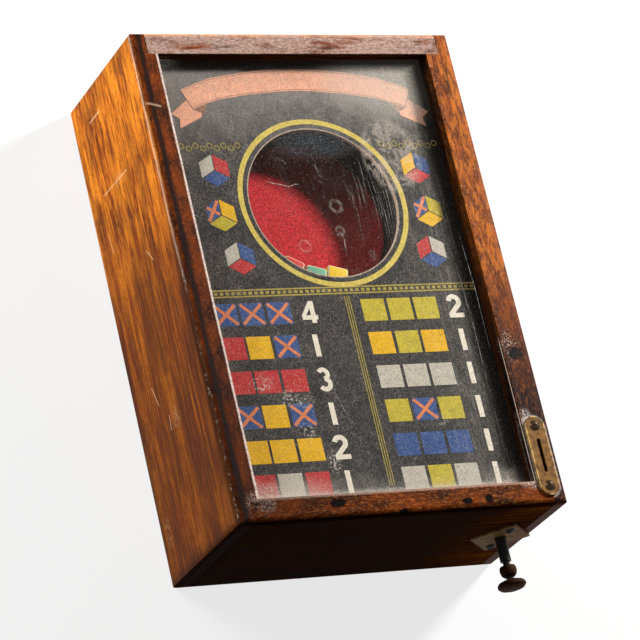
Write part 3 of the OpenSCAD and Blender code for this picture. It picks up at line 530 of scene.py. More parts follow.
    def patches(self, axes, table, soft=1.0, ragged=0.0):
        """The most of several ovals, each its middle, its radii and, if less than 1, its strength."""
        found = []
        for middle, radii, *strength in table:
            oval = self.patch(axes, middle, radii, soft, ragged)
            found.append(oval * strength[0] if strength else oval)
        return self.most(*found)


def dress(material, *nodes):
    """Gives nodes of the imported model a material."""
    for name in nodes:
        mesh_object = frame["nodes"][name]
        if not mesh_object.material_slots:
            mesh_object.data.materials.append(None)
        for place in mesh_object.material_slots:
            place.material = material


def soften(width, *nodes):
    """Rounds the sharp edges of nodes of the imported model."""
    for name in nodes:
        mesh_object = frame["nodes"][name]
        weld = mesh_object.modifiers.new("Join Corners", "WELD")
        weld.merge_threshold = mm(0.002)
        bevel = mesh_object.modifiers.new("Arris", "BEVEL")
        bevel.width, bevel.segments, bevel.limit_method = width, 3, "ANGLE"
        bevel.angle_limit = math.radians(50)
        bevel.use_clamp_overlap = True
        even = mesh_object.modifiers.new("Even Shading", "WEIGHTED_NORMAL")
        even.keep_sharp, even.weight = False, 80


def piece(name, mesh, material, body, slot, smooth=False):
    """Links a mesh as a piece that rides on a body."""
    made = bpy.data.objects.new(name, mesh)
    bpy.context.scene.collection.objects.link(made)
    if material:
        mesh.materials.append(material)
    if smooth:
        for face in mesh.polygons:
            face.use_smooth = True
    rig.ride(made, body)
    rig.slot(made, slot)
    return made


LAYERS, LAYER = 40, 0.001  # flat faces that overlap lie this many millimetres apart


def flat_mesh(name, outlines, height):
    """A mesh of flat faces, one for each outline of (x, y) points in millimetres, near one height."""
    points, faces = [], []
    for number, outline in enumerate(outlines):
        turn = sum(a[0] * b[1] - b[0] * a[1] for a, b in zip(outline, outline[1:] + outline[:1]))
        ordered = outline if turn > 0 else outline[::-1]
        faces.append(range(len(points), len(points) + len(ordered)))
        points += [mm(x, y, height + number % LAYERS * LAYER) for x, y in ordered]
    mesh = bpy.data.meshes.new(name)
    mesh.from_pydata(points, [], [list(face) for face in faces])
    return mesh


def ring_points(middle, first, second, radius, sides):
    """Points round a middle in the plane of two directions."""
    turns = [2 * math.pi * k / sides for k in range(sides)]
    return [middle + (first * math.cos(turn) + second * math.sin(turn)) * radius for turn in turns]


def tube_mesh(name, rings):
    """A tube through rings of points in millimetres, closed at both ends."""
    sides, faces = len(rings[0]), []
    for start in range(0, (len(rings) - 1) * sides, sides):
        for k in range(sides):
            a, b = start + k, start + (k + 1) % sides
            faces.append((a, b, b + sides, a + sides))
    last = (len(rings) - 1) * sides
    faces += [tuple(range(sides))[::-1], tuple(range(last, last + sides))]
    mesh = bpy.data.meshes.new(name)
    mesh.from_pydata([mm(*point) for ring in rings for point in ring], [], faces)
    return mesh


def band(path, width, closed=False):
    """Four-sided outlines that follow a path with a width."""
    count = len(path)
    sides = []
    for i, (x, y) in enumerate(path):
        before = path[(i - 1) % count] if closed or i else path[0]
        after = path[(i + 1) % count] if closed or i < count - 1 else path[-1]
        along = Vector((after[0] - before[0], after[1] - before[1])).normalized()
        reach = (width[i] if isinstance(width, list) else width) / 2
        out_x, out_y = along.y * reach, along.x * reach
        sides.append(((x - out_x, y + out_y), (x + out_x, y - out_y)))
    ends = sides[1:] + sides[:1] if closed else sides[1:]
    return [[left, right, next_right, next_left]
            for (left, right), (next_left, next_right) in zip(sides, ends)]


def arc(middle, radius, start, stop, steps):
    """Points on an arc, in degrees."""
    angles = [math.radians(start + (stop - start) * i / steps) for i in range(steps + 1)]
    return [(middle[0] + radius * math.cos(a), middle[1] + radius * math.sin(a)) for a in angles]


# Boards

# Marks on the boards in millimetres. A scratch is its start, stop and width, and a spot its middle, its
# radii and, if less than 1, its strength.
CASE_TOP, NEAR_END = 97, -147.5
LEFT_SCRATCHES = [((127.5, 25.4), (127.5, 40.0), 0.8), ((82.2, 22.9), (81.4, 57.3), 0.6),
                  ((30.0, 60.0), (22.0, 66.0), 0.5), ((-40.0, 30.0), (-52.0, 34.0), 0.5),
                  ((60.0, 18.0), (48.0, 20.0), 0.4), ((-62.0, 44.0), (-70.0, 43.0), 0.5)]
LEFT_SCUFFS = [((81.5, 47.0), (5.5, 7.0)), ((-66.0, 52.0), (9.0, 7.0), 0.7),
               ((-118.0, 12.0), (12.0, 5.0), 0.6)]
LEFT_RAIL_SCRATCH = ((-99.4, 102.6), (-92.3, 100.7), 1.0)
LEFT_RAIL_CORNER = ((-88.0, -136.0), (8.0, 9.0))
LEFT_RAIL_LINE_X, RIGHT_RAIL_LINE_Z = -96.4, 95.4
COIN_PLATE, COIN_PLATE_STRAIGHT, COIN_PLATE_ROUND = (90.9, -119.0), 17.4, 6.9  # middle, half, radius
RIGHT_RAIL_FLAKED = [((86.5, -132.0), (6.5, 9.0)), ((87.5, -97.0), (5.0, 9.0))]
RIGHT_RAIL_DENT = ((91.3, -56.4), (5.0, 4.0))
RIGHT_RAIL_CHIPPED = ((89.5, -52.0), (7.0, 12.0))
RIGHT_RAIL_WEAR_AND_HIGHLIGHT = ((93, 40), (14, 150))
NEAR_RAIL_FLAKED = [((82.0, -134.5), (10.0, 5.0)), ((-84.0, -137.0), (9.0, 7.0))]
NEAR_RAIL_DENTS = [((-40.8, -138.7), (5.5, 3.0)), ((38.0, -142.5), (3.5, 2.4)),
                   ((51.4, -141.5), (2.5, 2.8)), ((-2.0, -145.5), (3.0, 1.4))]
DENT_SOFT = 0.4
BOTTOM_OF_DENT = "0d0907"
DRIED_POLISH = "cdbfb4"


def stretched(grain, factor):
    """The stretch of clouds that are longer along one axis."""
    return tuple(factor if axis == grain else 1 for axis in "xyz")


class Board(Finish):
    """The finish of a board, whose grain runs along one axis."""

    def __init__(self, name, grain, seed):
        super().__init__(name)
        self.look = bpy.context.scene.dice_box_boards
        self.grain, self.seed = grain, seed

    def drawn(self, reach, shift, size, detail, rough, warp=0.0):
        """Clouds drawn out along the grain."""
        return self.clouds(size, detail, rough, stretched(self.grain, reach), warp, self.seed + shift)

    def figure(self):
        """Streaks, pores and dark blotches."""
        look, streak = self.look, in_mm(self.look.streak)
        self.broad = self.drawn(14, 0, streak * 3.2, 3, 0.55, 0.6)
        self.fine = self.drawn(26, 5, streak * 0.45, 4, 0.62, 0.2)
        self.fibre = self.drawn(22, 9, 0.5, 2, 0.6)
        self.pore = self.ease(self.drawn(9, 3, 0.42, 1, 0.5), 0.60, 0.70)
        self.tick = self.ease(self.drawn(3.5, 60, 1.0, 4, 0.75), 0.30, 0.70)
        hair = self.ease(self.drawn(30, 7, 0.75, 4, 0.7), 0.34, 0.66)
        blotch = self.drawn(1.8, 11, 38, 4, 0.6, 0.4)
        cathedral = self.drawn(2.6, 15, 30, 3, 0.5, 0.8)
        stops = [(0.39, look.dark), (0.47, look.middle), (0.565, look.light)]
        self.colour = self.node("ShaderNodeValToRGB", {"stops": stops},
                                {0: self.broad * 0.30 + self.fine * 0.52 + cathedral * 0.18})
        self.tone(0.36 + self.fibre * 0.8 + hair * 0.38)
        self.lay(self.pore * 0.75, look.dark)
        self.lay(self.ease(blotch, 0.52, 0.72) * 0.65, look.dark)
        self.tone(0.72 + self.tick * 0.56)

    def end_grain(self):
        """Dots and rings on the two faces across the grain."""
        look = self.look
        beside = {"x": "y", "y": "z", "z": "x"}[self.grain]
        dots = self.spots(0.42, 0.66, 0.7, 2, 0.7, seed=self.seed)
        rings = self.clouds(5, 3, 0.5, stretched(beside, 3), 0.4, self.seed + 2)
        cut = self.mix(dots * 0.6, self.mix(rings, look.soil, look.middle), look.soil)
        self.lay(self.facing(abs(getattr(self, "n" + self.grain)), 0.6), cut)

    def soiled_top(self):
        """The upper faces are dark with old varnish and dirt, with chips to the wood."""
        look = self.look
        chips = self.ease(self.drawn(2.2, 21, 1.3, 5, 0.78, 0.3), 0.585, 0.64)
        flakes = self.ease(self.drawn(2.4, 26, 0.8, 4, 0.8), 0.53, 0.66)
        tide = self.ease(self.drawn(2.5, 31, 9, 4, 0.6, 0.3), 0.34, 0.64)
        aged = self.mix(tide, look.soil, self.mix(self.fine, look.varnish, look.middle))
        aged = self.mix(self.fibre * 0.6, aged, look.soil)
        aged = self.shade(aged, 0.70 + self.tick * 0.60)
        aged = self.mix(self.most(chips * 0.55, flakes * 0.55), aged, look.bare)
        self.lay(self.facing(self.nz, 0.5), aged)

    def worn_arrises(self, box):
        """Edges rubbed to the wood in places, with grime beside them."""
        look, reach = self.look, in_mm(self.look.wear)
        edge = self.edge_distance(*box)
        ragged = self.drawn(2.2, 40, 3.2, 4, 0.65, 0.3) - 0.5
        rub = self.spots(0.45, 0.62, 1.1, 3, 0.6, seed=self.seed + 50)
        worn = self.ease(edge + ragged * reach * 5, reach * 0.9, reach * 0.1)
        self.lay(worn * rub * 0.8, look.bare)
        grime = self.ease(edge + ragged * reach * 7, reach * 2.4, reach * 0.8)
        self.lay(grime * (1 - rub) * 0.6, look.soil)
        self.height = self.fibre * 0.25 + self.fine * 0.25 + (1 - self.pore) * 0.5 - worn * 0.25
        self.rough = 0.40 + self.broad * 0.15 + self.pore * 0.15 + worn * 0.2


def wood(name, node, grain, seed, marks=None, shine=0.07):
    """Varnished board with its own marks."""
    f = Board(name, grain, seed)
    f.figure()
    f.end_grain()
    f.soiled_top()
    f.worn_arrises(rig.box(node))
    if marks:
        marks(f)
    return f.coat(f.rough, f.height, 0.15, shine=shine)


def left_marks(f):
    """The outer face darkens and loses its orange towards the near end, partly as painted shade, has painted light on
    its far part, and is scratched; its end face is painted nearly black as shade.
    """
    outer = f.facing(-1 * f.nx, 0.5)
    pale = f.clouds(2.0, 2, 0.6)
    broken = f.spots(0.36, 0.56, 1.1, 4, 0.75, seed=70)
    stain = f.clouds(7, 4, 0.6, (1, 9, 1), 0.5, 71)
    # Towards the near end the face turns browner and darker, and darker still near its edges: partly stain, partly
    # painted shade
    low_part = f.ease(f.y, 92, -50) * outer
    f.lay(f.ease(stain, 0.46, 0.68) * (outer * 0.30 + low_part * 0.35), f.look.soil)
    f.lay(low_part * 0.5, f.shade(ink("6a3412"), 0.75 + pale * 0.5))
    from_edges = f.least(f.z, CASE_TOP - f.z, f.y - NEAR_END) + (stain - 0.5) * 16
    f.tone(1 - low_part * (0.36 + f.ease(from_edges, 11, 0) * 0.42))
    # Painted light on the far part of the face, with dark streaks of grain through it
    warm = f.ease(f.y, -5, 75) * outer
    glow = f.spots(0.43, 0.58, 4.5, 5, 0.72, (1, 7, 1), 0.4, 76)
    f.lay(warm * glow * 0.46, f.shade(ink("e88c22"), 0.8 + pale * 0.4))
    f.lay(warm * f.spots(0.50, 0.60, 1.7, 5, 0.75, (1, 9, 1), 0.4, 78) * 0.62, "5e2408")
    f.lay(outer * f.spots(0.46, 0.66, 16, 5, 0.65, (1, 3, 1), 0.6, 73) * 0.5, "3a1a0a")
    scuffs = f.patches("yz", LEFT_SCUFFS) * f.spots(0.52, 0.62, 0.9, 4, 0.8, (1, 2.5, 1), seed=72)
    scratches = f.most(f.strokes("yz", LEFT_SCRATCHES) * (0.25 + broken * 0.75), scuffs) * outer
    f.lay(scratches * 0.7, "d9b288")
    left_rail_marks(f, broken)
    # The end face is painted nearly black as shade
    end_face_shade = f.facing(-1 * f.ny)
    f.tone(1 - end_face_shade * 0.93)
    f.lay(f.stroke("xy", *LEFT_RAIL_SCRATCH) * f.facing(f.nz) * 0.6, "b89878")
    f.rough += scratches * 0.2 + end_face_shade * 0.4
    f.height -= scratches * 0.3


def left_rail_marks(f, broken):
    """A black line runs along the rail, a painted highlight runs along its arris in flecks, and dust lies along the
    glass.
    """
    top = f.facing(f.nz)
    f.tone(1 - top * f.ease(f.y, 60, -120) * 0.5)
    ragged = f.clouds(3.0, 4, 0.7, (1, 7, 1), 0.3, 75)
    f.lay(f.ease(abs(f.x - LEFT_RAIL_LINE_X) + (ragged - 0.5) * 3, 2.9, 0.6) * top * 0.92, "0e0604")
    # Painted highlight along the arris: broad on the far half, in flecks nearer
    far_half = f.ease(f.y, -20, 40)
    arris = f.ease(f.x + far_half * 0.9, -99.6, -100.8) * f.ease(f.z + far_half * 0.7, 94.6, 96.0)
    flecks = f.spots(0.53, 0.62, 1.0, 4, 0.8, (1, 2.5, 1), seed=77)
    flecks = flecks * f.spots(0.46, 0.58, 5, 3, 0.6, (1, 2, 1), seed=74)
    f.lay(arris * f.least(f.ease(f.y, -20, 60) * (0.5 + broken * 0.4) + flecks * 0.6, 1.0), "f4e2c8")
    sill = f.ease(f.x + (ragged - 0.5) * 1.2, -88.1, -87.3) * top
    f.lay(sill * (0.35 + broken * 0.55), "e8d3c6")
    corner = f.patch("xy", *LEFT_RAIL_CORNER) * f.spots(0.50, 0.60, 1.3, 4, 0.8, warp=0.3, seed=79)
    f.lay(corner * top * 0.7, "d8c4b4")


def right_marks(f):
    """The rail is bright in its middle, partly worn and partly a painted highlight, and dark near the coin plate, where
    it has one dent.
    """
    top = f.facing(f.nz)
    # Bare wood along the rail's middle: partly wear, partly a painted highlight
    rubbed = f.patch("xy", *RIGHT_RAIL_WEAR_AND_HIGHLIGHT) * f.spots(0.35, 0.6, 6, 3, 0.6, (1, 3, 1), 0.3, 81)
    f.lay(rubbed * top * 0.6, f.look.bare)
    # Painted highlight on the far half of the rail
    glow = f.spots(0.46, 0.60, 3.0, 5, 0.72, (1, 4, 1), 0.4, 82) * f.ease(f.y, -60, 20)
    f.lay(glow * top * 0.6, "d8791f")
    f.lay(f.spots(0.49, 0.60, 2.2, 5, 0.75, (1, 3.5, 1), 0.4, 83) * top * 0.66, "2c1206")
    # Pale specks: on the outer arris a painted highlight, along the inner edge dust
    specks = f.spots(0.585, 0.64, 1.0, 4, 0.8, (1, 2.2, 1), seed=85)
    rim = f.most(f.ease(f.x, 99.0, 100.4) * 0.9, f.ease(f.x, 88.0, 85.4) * 0.7)
    f.lay(specks * top * (0.22 + rim * 0.78), "e6c4ae")
    f.tone(1 - top * (0.10 + f.ease(f.y, 10, -90) * 0.76))
    flecks = f.spots(0.52, 0.60, 1.5, 5, 0.78, (1, 2.4, 1), 0.3, 90) * f.ease(f.y, 10, -60)
    f.lay(flecks * top * 0.28, "b4642a")
    # The face that looks at the card is darkened nearly to black, but for a rubbed line under the arris
    pale = f.clouds(1.1, 3, 0.7)
    inner = f.facing(-1 * f.nx, 0.5)
    line = f.ease(abs(f.z - RIGHT_RAIL_LINE_Z + (pale - 0.5) * 0.8), 0.5, 0.15)
    f.tone(1 - inner * (0.95 - line * 0.25))
    f.lay(inner * line * f.ease(f.y, -44, -52) * (0.35 + pale * 0.6), "e0d2c0")
    # Polish and dust have dried round the coin plate
    beyond = f.most(abs(f.y - COIN_PLATE[1]) - COIN_PLATE_STRAIGHT, 0.0)
    plate = f.vector("LENGTH", f.join(f.x - COIN_PLATE[0], beyond))["Value"]
    crust = f.ease(abs(plate - COIN_PLATE_ROUND + (pale - 0.5) * 3.2), 1.1, 0.2) * top
    f.lay(crust * (0.35 + f.ease(pale, 0.45, 0.6) * 0.45), "cdbfb2")
    flaked = f.spots(0.47, 0.57, 1.4, 5, 0.8, warp=0.3, seed=87) * f.patches("xy", RIGHT_RAIL_FLAKED)
    f.lay(flaked * top * 0.75, DRIED_POLISH)
    chipped = f.spots(0.55, 0.60, 1.2, 4, 0.8, seed=89) * f.patch("xy", *RIGHT_RAIL_CHIPPED)
    f.lay(chipped * top * 0.8, DRIED_POLISH)
    dent = f.patch("xy", *RIGHT_RAIL_DENT, DENT_SOFT, 4.2) * top
    f.lay(dent, BOTTOM_OF_DENT)
    f.height -= dent


def end_marks(f):
    """Black dents on the near rail, and an end face painted nearly black as shade, brown towards its right."""
    top = f.facing(f.nz)
    f.lay(f.spots(0.50, 0.60, 2.4, 5, 0.75, (3.0, 1, 1), 0.4, 96) * top * 0.6, "240f06")
    f.lay(f.spots(0.53, 0.60, 1.3, 5, 0.8, (2.2, 1, 1), 0.3, 94) * top * 0.34, "c98646")
    flaked = f.spots(0.49, 0.58, 1.3, 5, 0.8, warp=0.3, seed=88) * f.patches("xy", NEAR_RAIL_FLAKED)
    f.lay(flaked * top * 0.7, DRIED_POLISH)
    sill = f.ease(f.y + (f.clouds(1.6, 4, 0.7) - 0.5) * 1.2, -135.2, -134.2) * top
    f.lay(sill * 0.45, "cfae9c")
    dents = f.patches("xy", NEAR_RAIL_DENTS, DENT_SOFT, 3.2) * top
    f.lay(dents, BOTTOM_OF_DENT)
    f.tone(1 - top * f.ease(f.x, 0, -90) * 0.55)
    f.tone(1 - f.facing(f.ny, 0.5) * 0.85)
    # The end face is painted nearly black at the left and brown towards the right, as shade
    face = f.facing(-1 * f.ny, 0.5)
    f.tone(1 - face * (0.96 - f.ease(f.x, 40, 95) * 0.58))
    f.rough += dents * 0.2 + face * 0.4
    f.height -= dents


def strip_marks(f):
    """The loose strip is rubbed grey and pink, with dark patches and an orange edge; its face towards the card is
    painted dark as shade.
    """
    top = f.facing(f.nz)
    patches = f.spots(0.30, 0.52, 7, 4, 0.65, (4, 1, 1), 0.5, 91) * top
    pale = f.mix(f.spots(0.34, 0.66, 1.0, 5, 0.8, (2.5, 1, 1), 0.2, 92), ink("805e4e"), ink("bda093"))
    pale = f.mix(f.spots(0.56, 0.62, 0.9, 4, 0.8, (1.6, 1, 1), seed=95) * 0.6, pale, ink("ead9cc"))
    f.lay(patches * 0.85, pale)
    orange = f.ease(f.y, 143.5, 146.5) * top * f.spots(0.35, 0.6, 2.5, 3, 0.6, (4, 1, 1), seed=93)
    f.lay(orange * 0.8, "c88444")
    # The face towards the card is painted dark as shade
    f.tone(1 - f.facing(-1 * f.ny, 0.5) * 0.85)
    f.rough += patches * 0.15


def bare_wood(name, grain, seed, brightness=1.0, plies=False):
    """Unvarnished softwood, or plywood with its layers on the edges."""
    f = Board(name, grain, seed)
    year, fibre = f.drawn(12, 0, 6, 2, 0.5, 0.8), f.drawn(20, 4, 0.6, 3, 0.6)
    f.colour = f.mix(f.ease(year, 0.35, 0.65), f.look.pine, dim(f.look.pine, 0.6))
    f.tone((0.75 + fibre * 0.5) * brightness)
    if plies:
        side = 1 - f.facing(abs(f.nz), 0.5)
        f.tone(1 - side * f.ease(f.lines(f.z, 0.9), 0.45, 0.55) * 0.4)
    f.lay(f.spots(0.5, 0.75, 30, 4, 0.6, warp=0.3, seed=seed + 8) * 0.45, f.look.soil)
    return f.coat(0.75 - fibre * 0.1, fibre * 0.6 + year * 0.4, 0.15, shine=0.3)


class DICEBOX_OT_boards(bpy.types.Operator):
    """Varnishes the boards of the case and rounds their edges"""
    bl_idname = "dicebox.boards"
    bl_label = "Case Boards"

    def execute(self, context):
        for node, grain, seed, marks, shine in [("left_side", "y", 1.0, left_marks, 0.035),
                                                ("right_side", "y", 17.0, right_marks, 0.035),
                                                ("plunger_end", "x", 29.0, end_marks, 0.02),
                                                ("far_end", "x", 43.0, None, 0.08),
                                                ("glass_strip", "x", 57.0, strip_marks, 0.04)]:
            dress(wood("Varnished " + node, node, grain, seed, marks, shine), node)
            soften(context.scene.dice_box_boards.arris, node)
        return {"FINISHED"}


class DICEBOX_OT_inner_wood(bpy.types.Operator):
    """Gives the back panel, shelf, battens and cleats their bare wood"""
    bl_idname = "dicebox.inner_wood"
    bl_label = "Inner Wood"

    def execute(self, context):
        dress(bare_wood("Back panel plywood", "y", 3.0, 0.85, True), "back_panel")
        dress(bare_wood("Shelf softwood", "x", 8.0), "shelf_board")
        dress(bare_wood("Batten softwood", "y", 13.0, 0.9), "back_battens", "card_battens")
        dress(bare_wood("Cleat softwood", "x", 21.0, 0.9), "shelf_cleats")
        soften(mm(0.4), "back_panel", "shelf_cleats")
        return {"FINISHED"}


# Glass

GLASS_TOP = 93.8
SCRATCH_LIFT = 0.02  # millimetres above the pane's face
PANE_LEFT, PANE_RIGHT, PANE_END = -86.5, 84, 133.5  # how far the pane is seen between the rails

SCRATCHES = [  # points in millimetres on the pane, then the width
    ([(-36.5, 54.8), (-32.0, 53.4), (-27.7, 52.7), (-23.1, 51.3), (-19.5, 52.6), (-16.4, 52.8)], 0.5),
    ([(2.0, 23.3), (3.4, 18.0), (2.8, 13.0), (2.2, 9.0)], 0.5),
    ([(-3.3, 65.8), (-3.9, 63.0), (-2.4, 61.4), (-2.9, 58.6), (-0.5, 56.3)], 0.4),
    ([(-23.3, 68.3), (-21.7, 65.2)], 0.5),
    ([(-26.8, 69.4), (-22.6, 66.9)], 0.5),
    ([(-4.4, 54.9), (-1.7, 52.8)], 0.5),
    ([(70.0, 0.0), (71.2, -40.0), (71.0, -78.0)], 0.3),
    ([(77.0, 20.0), (78.4, -14.0), (78.0, -52.0)], 0.3),
    ([(-30.0, -60.0), (-22.0, -84.0), (-17.0, -96.0)], 0.3),
    ([(-38.0, -108.0), (-31.0, -113.0)], 0.3),
    ([(10.0, 104.0), (22.0, 101.0)], 0.3),
]
NICKED = [((-53.0, -76.0), (9.0, 7.0)), ((-44.0, -78.0), (7.0, 5.0)), ((-35.0, -114.0), (5.0, 9.0)),
          ((-47.0, -95.0), (8.0, 6.0)), ((-67.0, -67.0), (8.0, 6.0)), ((-83.0, -128.0), (9.0, 8.0)),
          ((36.0, -93.0), (6.0, 5.0))]  # scuffed spots: their middles, then their radii
RING_STAINS = [((3.3, 38.7), 3.4, 1.5), ((2.0, 23.3), 2.4, 1.3), ((-22.0, 14.6), 3.2, 1.1)]


def pane_dirt(f):
    """Share of the pane that dirt covers, then its scuffed part, its near end and its cloud."""
    flat = ("x", "y")
    grain = f.spots(0.50, 0.66, 0.55, 3, 0.75, (1, 1.3, 1), seed=6)
    puff = f.spots(0.52, 0.61, 0.8, 5, 0.85, seed=21)
    right = f.ease(f.x, 24, 60) * f.ease(f.x, 79, 68)
    left = f.ease(f.x, -62, -86) * f.ease(f.y, 20, 110)
    film = f.spots(0.45, 0.80, 16, 5, 0.65, (1, 1.6, 1), 0.4, 2)
    wipes = f.spots(0.54, 0.70, 0.9, 4, 0.6, (1, 26, 1), seed=12)
    specks = f.spots(0.70, 0.74, 0.8, 1, 0.5, seed=33)
    corner = f.patch(flat, (60, 118), (58, 32))
    cloud = f.patch(flat, (0, 78), (32, 13))
    smudge = f.patch(flat, (19, 8), (3.2, 4.5))
    dirt = film * 0.03 + grain * (0.06 + right * 0.12 + left * 0.2) + wipes * (0.02 + right * 0.14)
    dirt += corner * (0.26 + puff * 0.50) + cloud * (0.012 + puff * 0.26) + smudge * puff * 0.5
    dirt += specks * 0.5 + puff * (right * 0.06 + left * 0.10)
    # Dirt gathers where the pane runs under the rails
    edge = f.least(f.x - PANE_LEFT, PANE_RIGHT - f.x, PANE_END - f.y, f.y + PANE_END)
    ragged = f.clouds(3, 5, 0.75, seed=15)
    rim = f.ease(edge + (ragged - 0.5) * 9, 4.0, 0.0)
    seam = f.ease(edge + (ragged - 0.5) * 3, 1.3, 0.5)
    near = f.ease(f.y + (f.clouds(6, 5, 0.7, (1.5, 1, 1), seed=18) - 0.5) * 14, -119, -134)
    near = near * (0.30 + f.ease(f.x, -20, -70) * 0.85 + f.ease(f.x, 45, 80) * 0.8)
    last = f.ease(f.y + (ragged - 0.5) * 5, -129.5, -132.5)
    dirt += (rim * grain * 0.4 + seam * 0.5 + near * (0.30 + grain * 0.75)
             + last * (0.30 + grain * 0.55))
    # Scuffs, nicks and the rings that drops have left
    tatter = f.spots(0.45, 0.56, 8, 6, 0.75, warp=0.6, seed=24)
    scuff = f.spots(0.42, 0.62, 0.7, 4, 0.8, (1, 1.5, 1), 0.3, 22)
    worn = f.ease(f.patch(flat, (46, 70), (23, 29)), 0.1, 0.6) * tatter * (0.34 + scuff * 0.66)
    nicks = f.spots(0.54, 0.59, 1.5, 4, 0.8, warp=0.2, seed=27) * f.patches(flat, NICKED)
    rings = f.most(*[f.ease(abs(f.away(spot) + (ragged - 0.5) * 3.2 - radius), width, width * 0.2)
                     for spot, radius, width in RING_STAINS])
    rings = rings * f.spots(0.38, 0.58, 1.5, 4, 0.8, seed=25)
    return dirt + worn * 0.50 + nicks * 0.75 + rings * 0.24, worn, near, cloud


def pane_finish(look):
    """Old window glass: see-through, with a mirrored sheen and dirt on the upper face, thinned as painted shade where
    the rails' shadows fall.
    """
    f = Finish("Old window glass")
    upper = f.ease(f.z, GLASS_TOP - 0.3, GLASS_TOP - 0.1) * f.facing(f.nz)
    # Less dirt where the shadows of the right rail and the far strip fall, as painted shade
    shaded = f.most(f.ease(f.x, 67, 77), f.ease(f.y, 122, 129) * f.ease(f.x, -84, -70))
    dirt, worn, near, cloud = pane_dirt(f)
    dirt = f.least(upper * (dirt * (1 - shaded * 0.96) + look.haze), 0.92)
    dust = f.mix(f.most(worn, near * 0.5), look.dust, ink("cbb5a5"))
    dusty = f.surface(f.mix(cloud, dust, ink("bcc0c4")), 0.85, Specular_IOR_Level=0.1)
    clear = f.node("ShaderNodeBsdfTransparent", None, {"Color": (0.985, 0.975, 0.965)})
    gloss = f.surface((0.0, 0.0, 0.0), 0.06, Specular_IOR_Level=1.0)
    rise = f.node("ShaderNodeFresnel", None, {"IOR": 1.35})
    sheen = f.node("ShaderNodeMixShader", None, {0: look.shine + rise * 0.16, 1: clear, 2: gloss})
    return f.done(f.node("ShaderNodeMixShader", None, {0: dirt, 1: sheen, 2: dusty}))


def scratch_finish():
    f = Finish("Scratched glass")
    chalk = f.spots(0.36, 0.62, 1.4, 3, 0.7, (1, 3, 1), seed=31)
    white = f.surface(ink("d9d5cc"), 0.6, Specular_IOR_Level=0.3)
    clear = f.node("ShaderNodeBsdfTransparent")
    return f.done(f.node("ShaderNodeMixShader", None, {0: 0.05 + chalk * 0.34, 1: clear, 2: white}))


class DICEBOX_OT_glass(bpy.types.Operator):
    """Makes the pane clear, dusty and scratched"""
    bl_idname = "dicebox.glass"
    bl_label = "Glass"

    def execute(self, context):
        look = context.scene.dice_box_glass
        dress(pane_finish(look), "glass_pane")
        outlines = []
        for path, width in SCRATCHES + self.sheaf():
            last = len(path) - 1
            widths = [width * (0.25 if i in (0, last) else 1.0) for i in range(last + 1)]
            outlines += band(path, widths)
        mesh = flat_mesh("glass_scratches", outlines, GLASS_TOP + SCRATCH_LIFT)
        piece("glass_scratches", mesh, scratch_finish(), "cabinet", "glass")
        return {"FINISHED"}

    def sheaf(self):
        """Long fine scratches that run down the right half of the window."""
        draw, found = random.Random(7), []
        for i in range(20):
            x, y = 13 + 1.75 * i + draw.uniform(-1, 1), draw.uniform(50, 76)
            lean = draw.uniform(-1.6, 1.4)
            drop = draw.uniform(14, 44)
            path = [(x, y), (x + lean + 0.6, y - drop / 2), (x + lean, y - drop)]
            found.append((path, draw.uniform(0.15, 0.34)))
        return found


# Award card

CARD_TOP = 87.2
WINDOW = (0.0, 44.3)
WINDOW_R = 46.0

# Rows of the two tables, from the far end: three squares and a number. R red, Y yellow, B blue,
# O olive, W grey-white, X blue with an orange cross
LEFT_ROWS = [("XXX", "4"), ("RYX", "1"), ("RRR", "3"), ("XYX", "1"), ("YYY", "2"), ("RWR", "1")]
RIGHT_ROWS = [("OOO", "2"), ("YOY", "1"), ("WWW", "1"), ("OXO", "1"), ("BBB", "1"), ("WOW", "1")]
ROWS_Y = [-22.5, -42.6, -62.9, -83.3, -103.6, -123.3]
# Each table: its rows, where its columns stand and where its numbers stand
TABLES = [(LEFT_ROWS, [-76.3, -60.3, -43.8], -25.6), (RIGHT_ROWS, [15.1, 31.7, 48.2], 66.5)]
CUBES = [((-62.9, 65.5), "RWB"), ((-65.0, 37.8), "YXO"), ((-59.5, 11.3), "BWR"),
         ((64.1, 65.1), "BYR"), ((65.3, 37.6), "OXY"), ((60.9, 12.2), "WRB")]
CUBE_SIDE = 9.6
# The right halves of the ribbon's edges
RIBBON_TOP = [(0.0, 129.3), (10.4, 128.9), (32.0, 126.8), (52.8, 123.3), (62.5, 120.0), (72.7, 115.8)]
RIBBON_LOW = [(0.0, 114.9), (10.0, 114.6), (30.0, 112.8), (49.5, 109.8), (58.5, 107.2), (67.5, 103.6)]


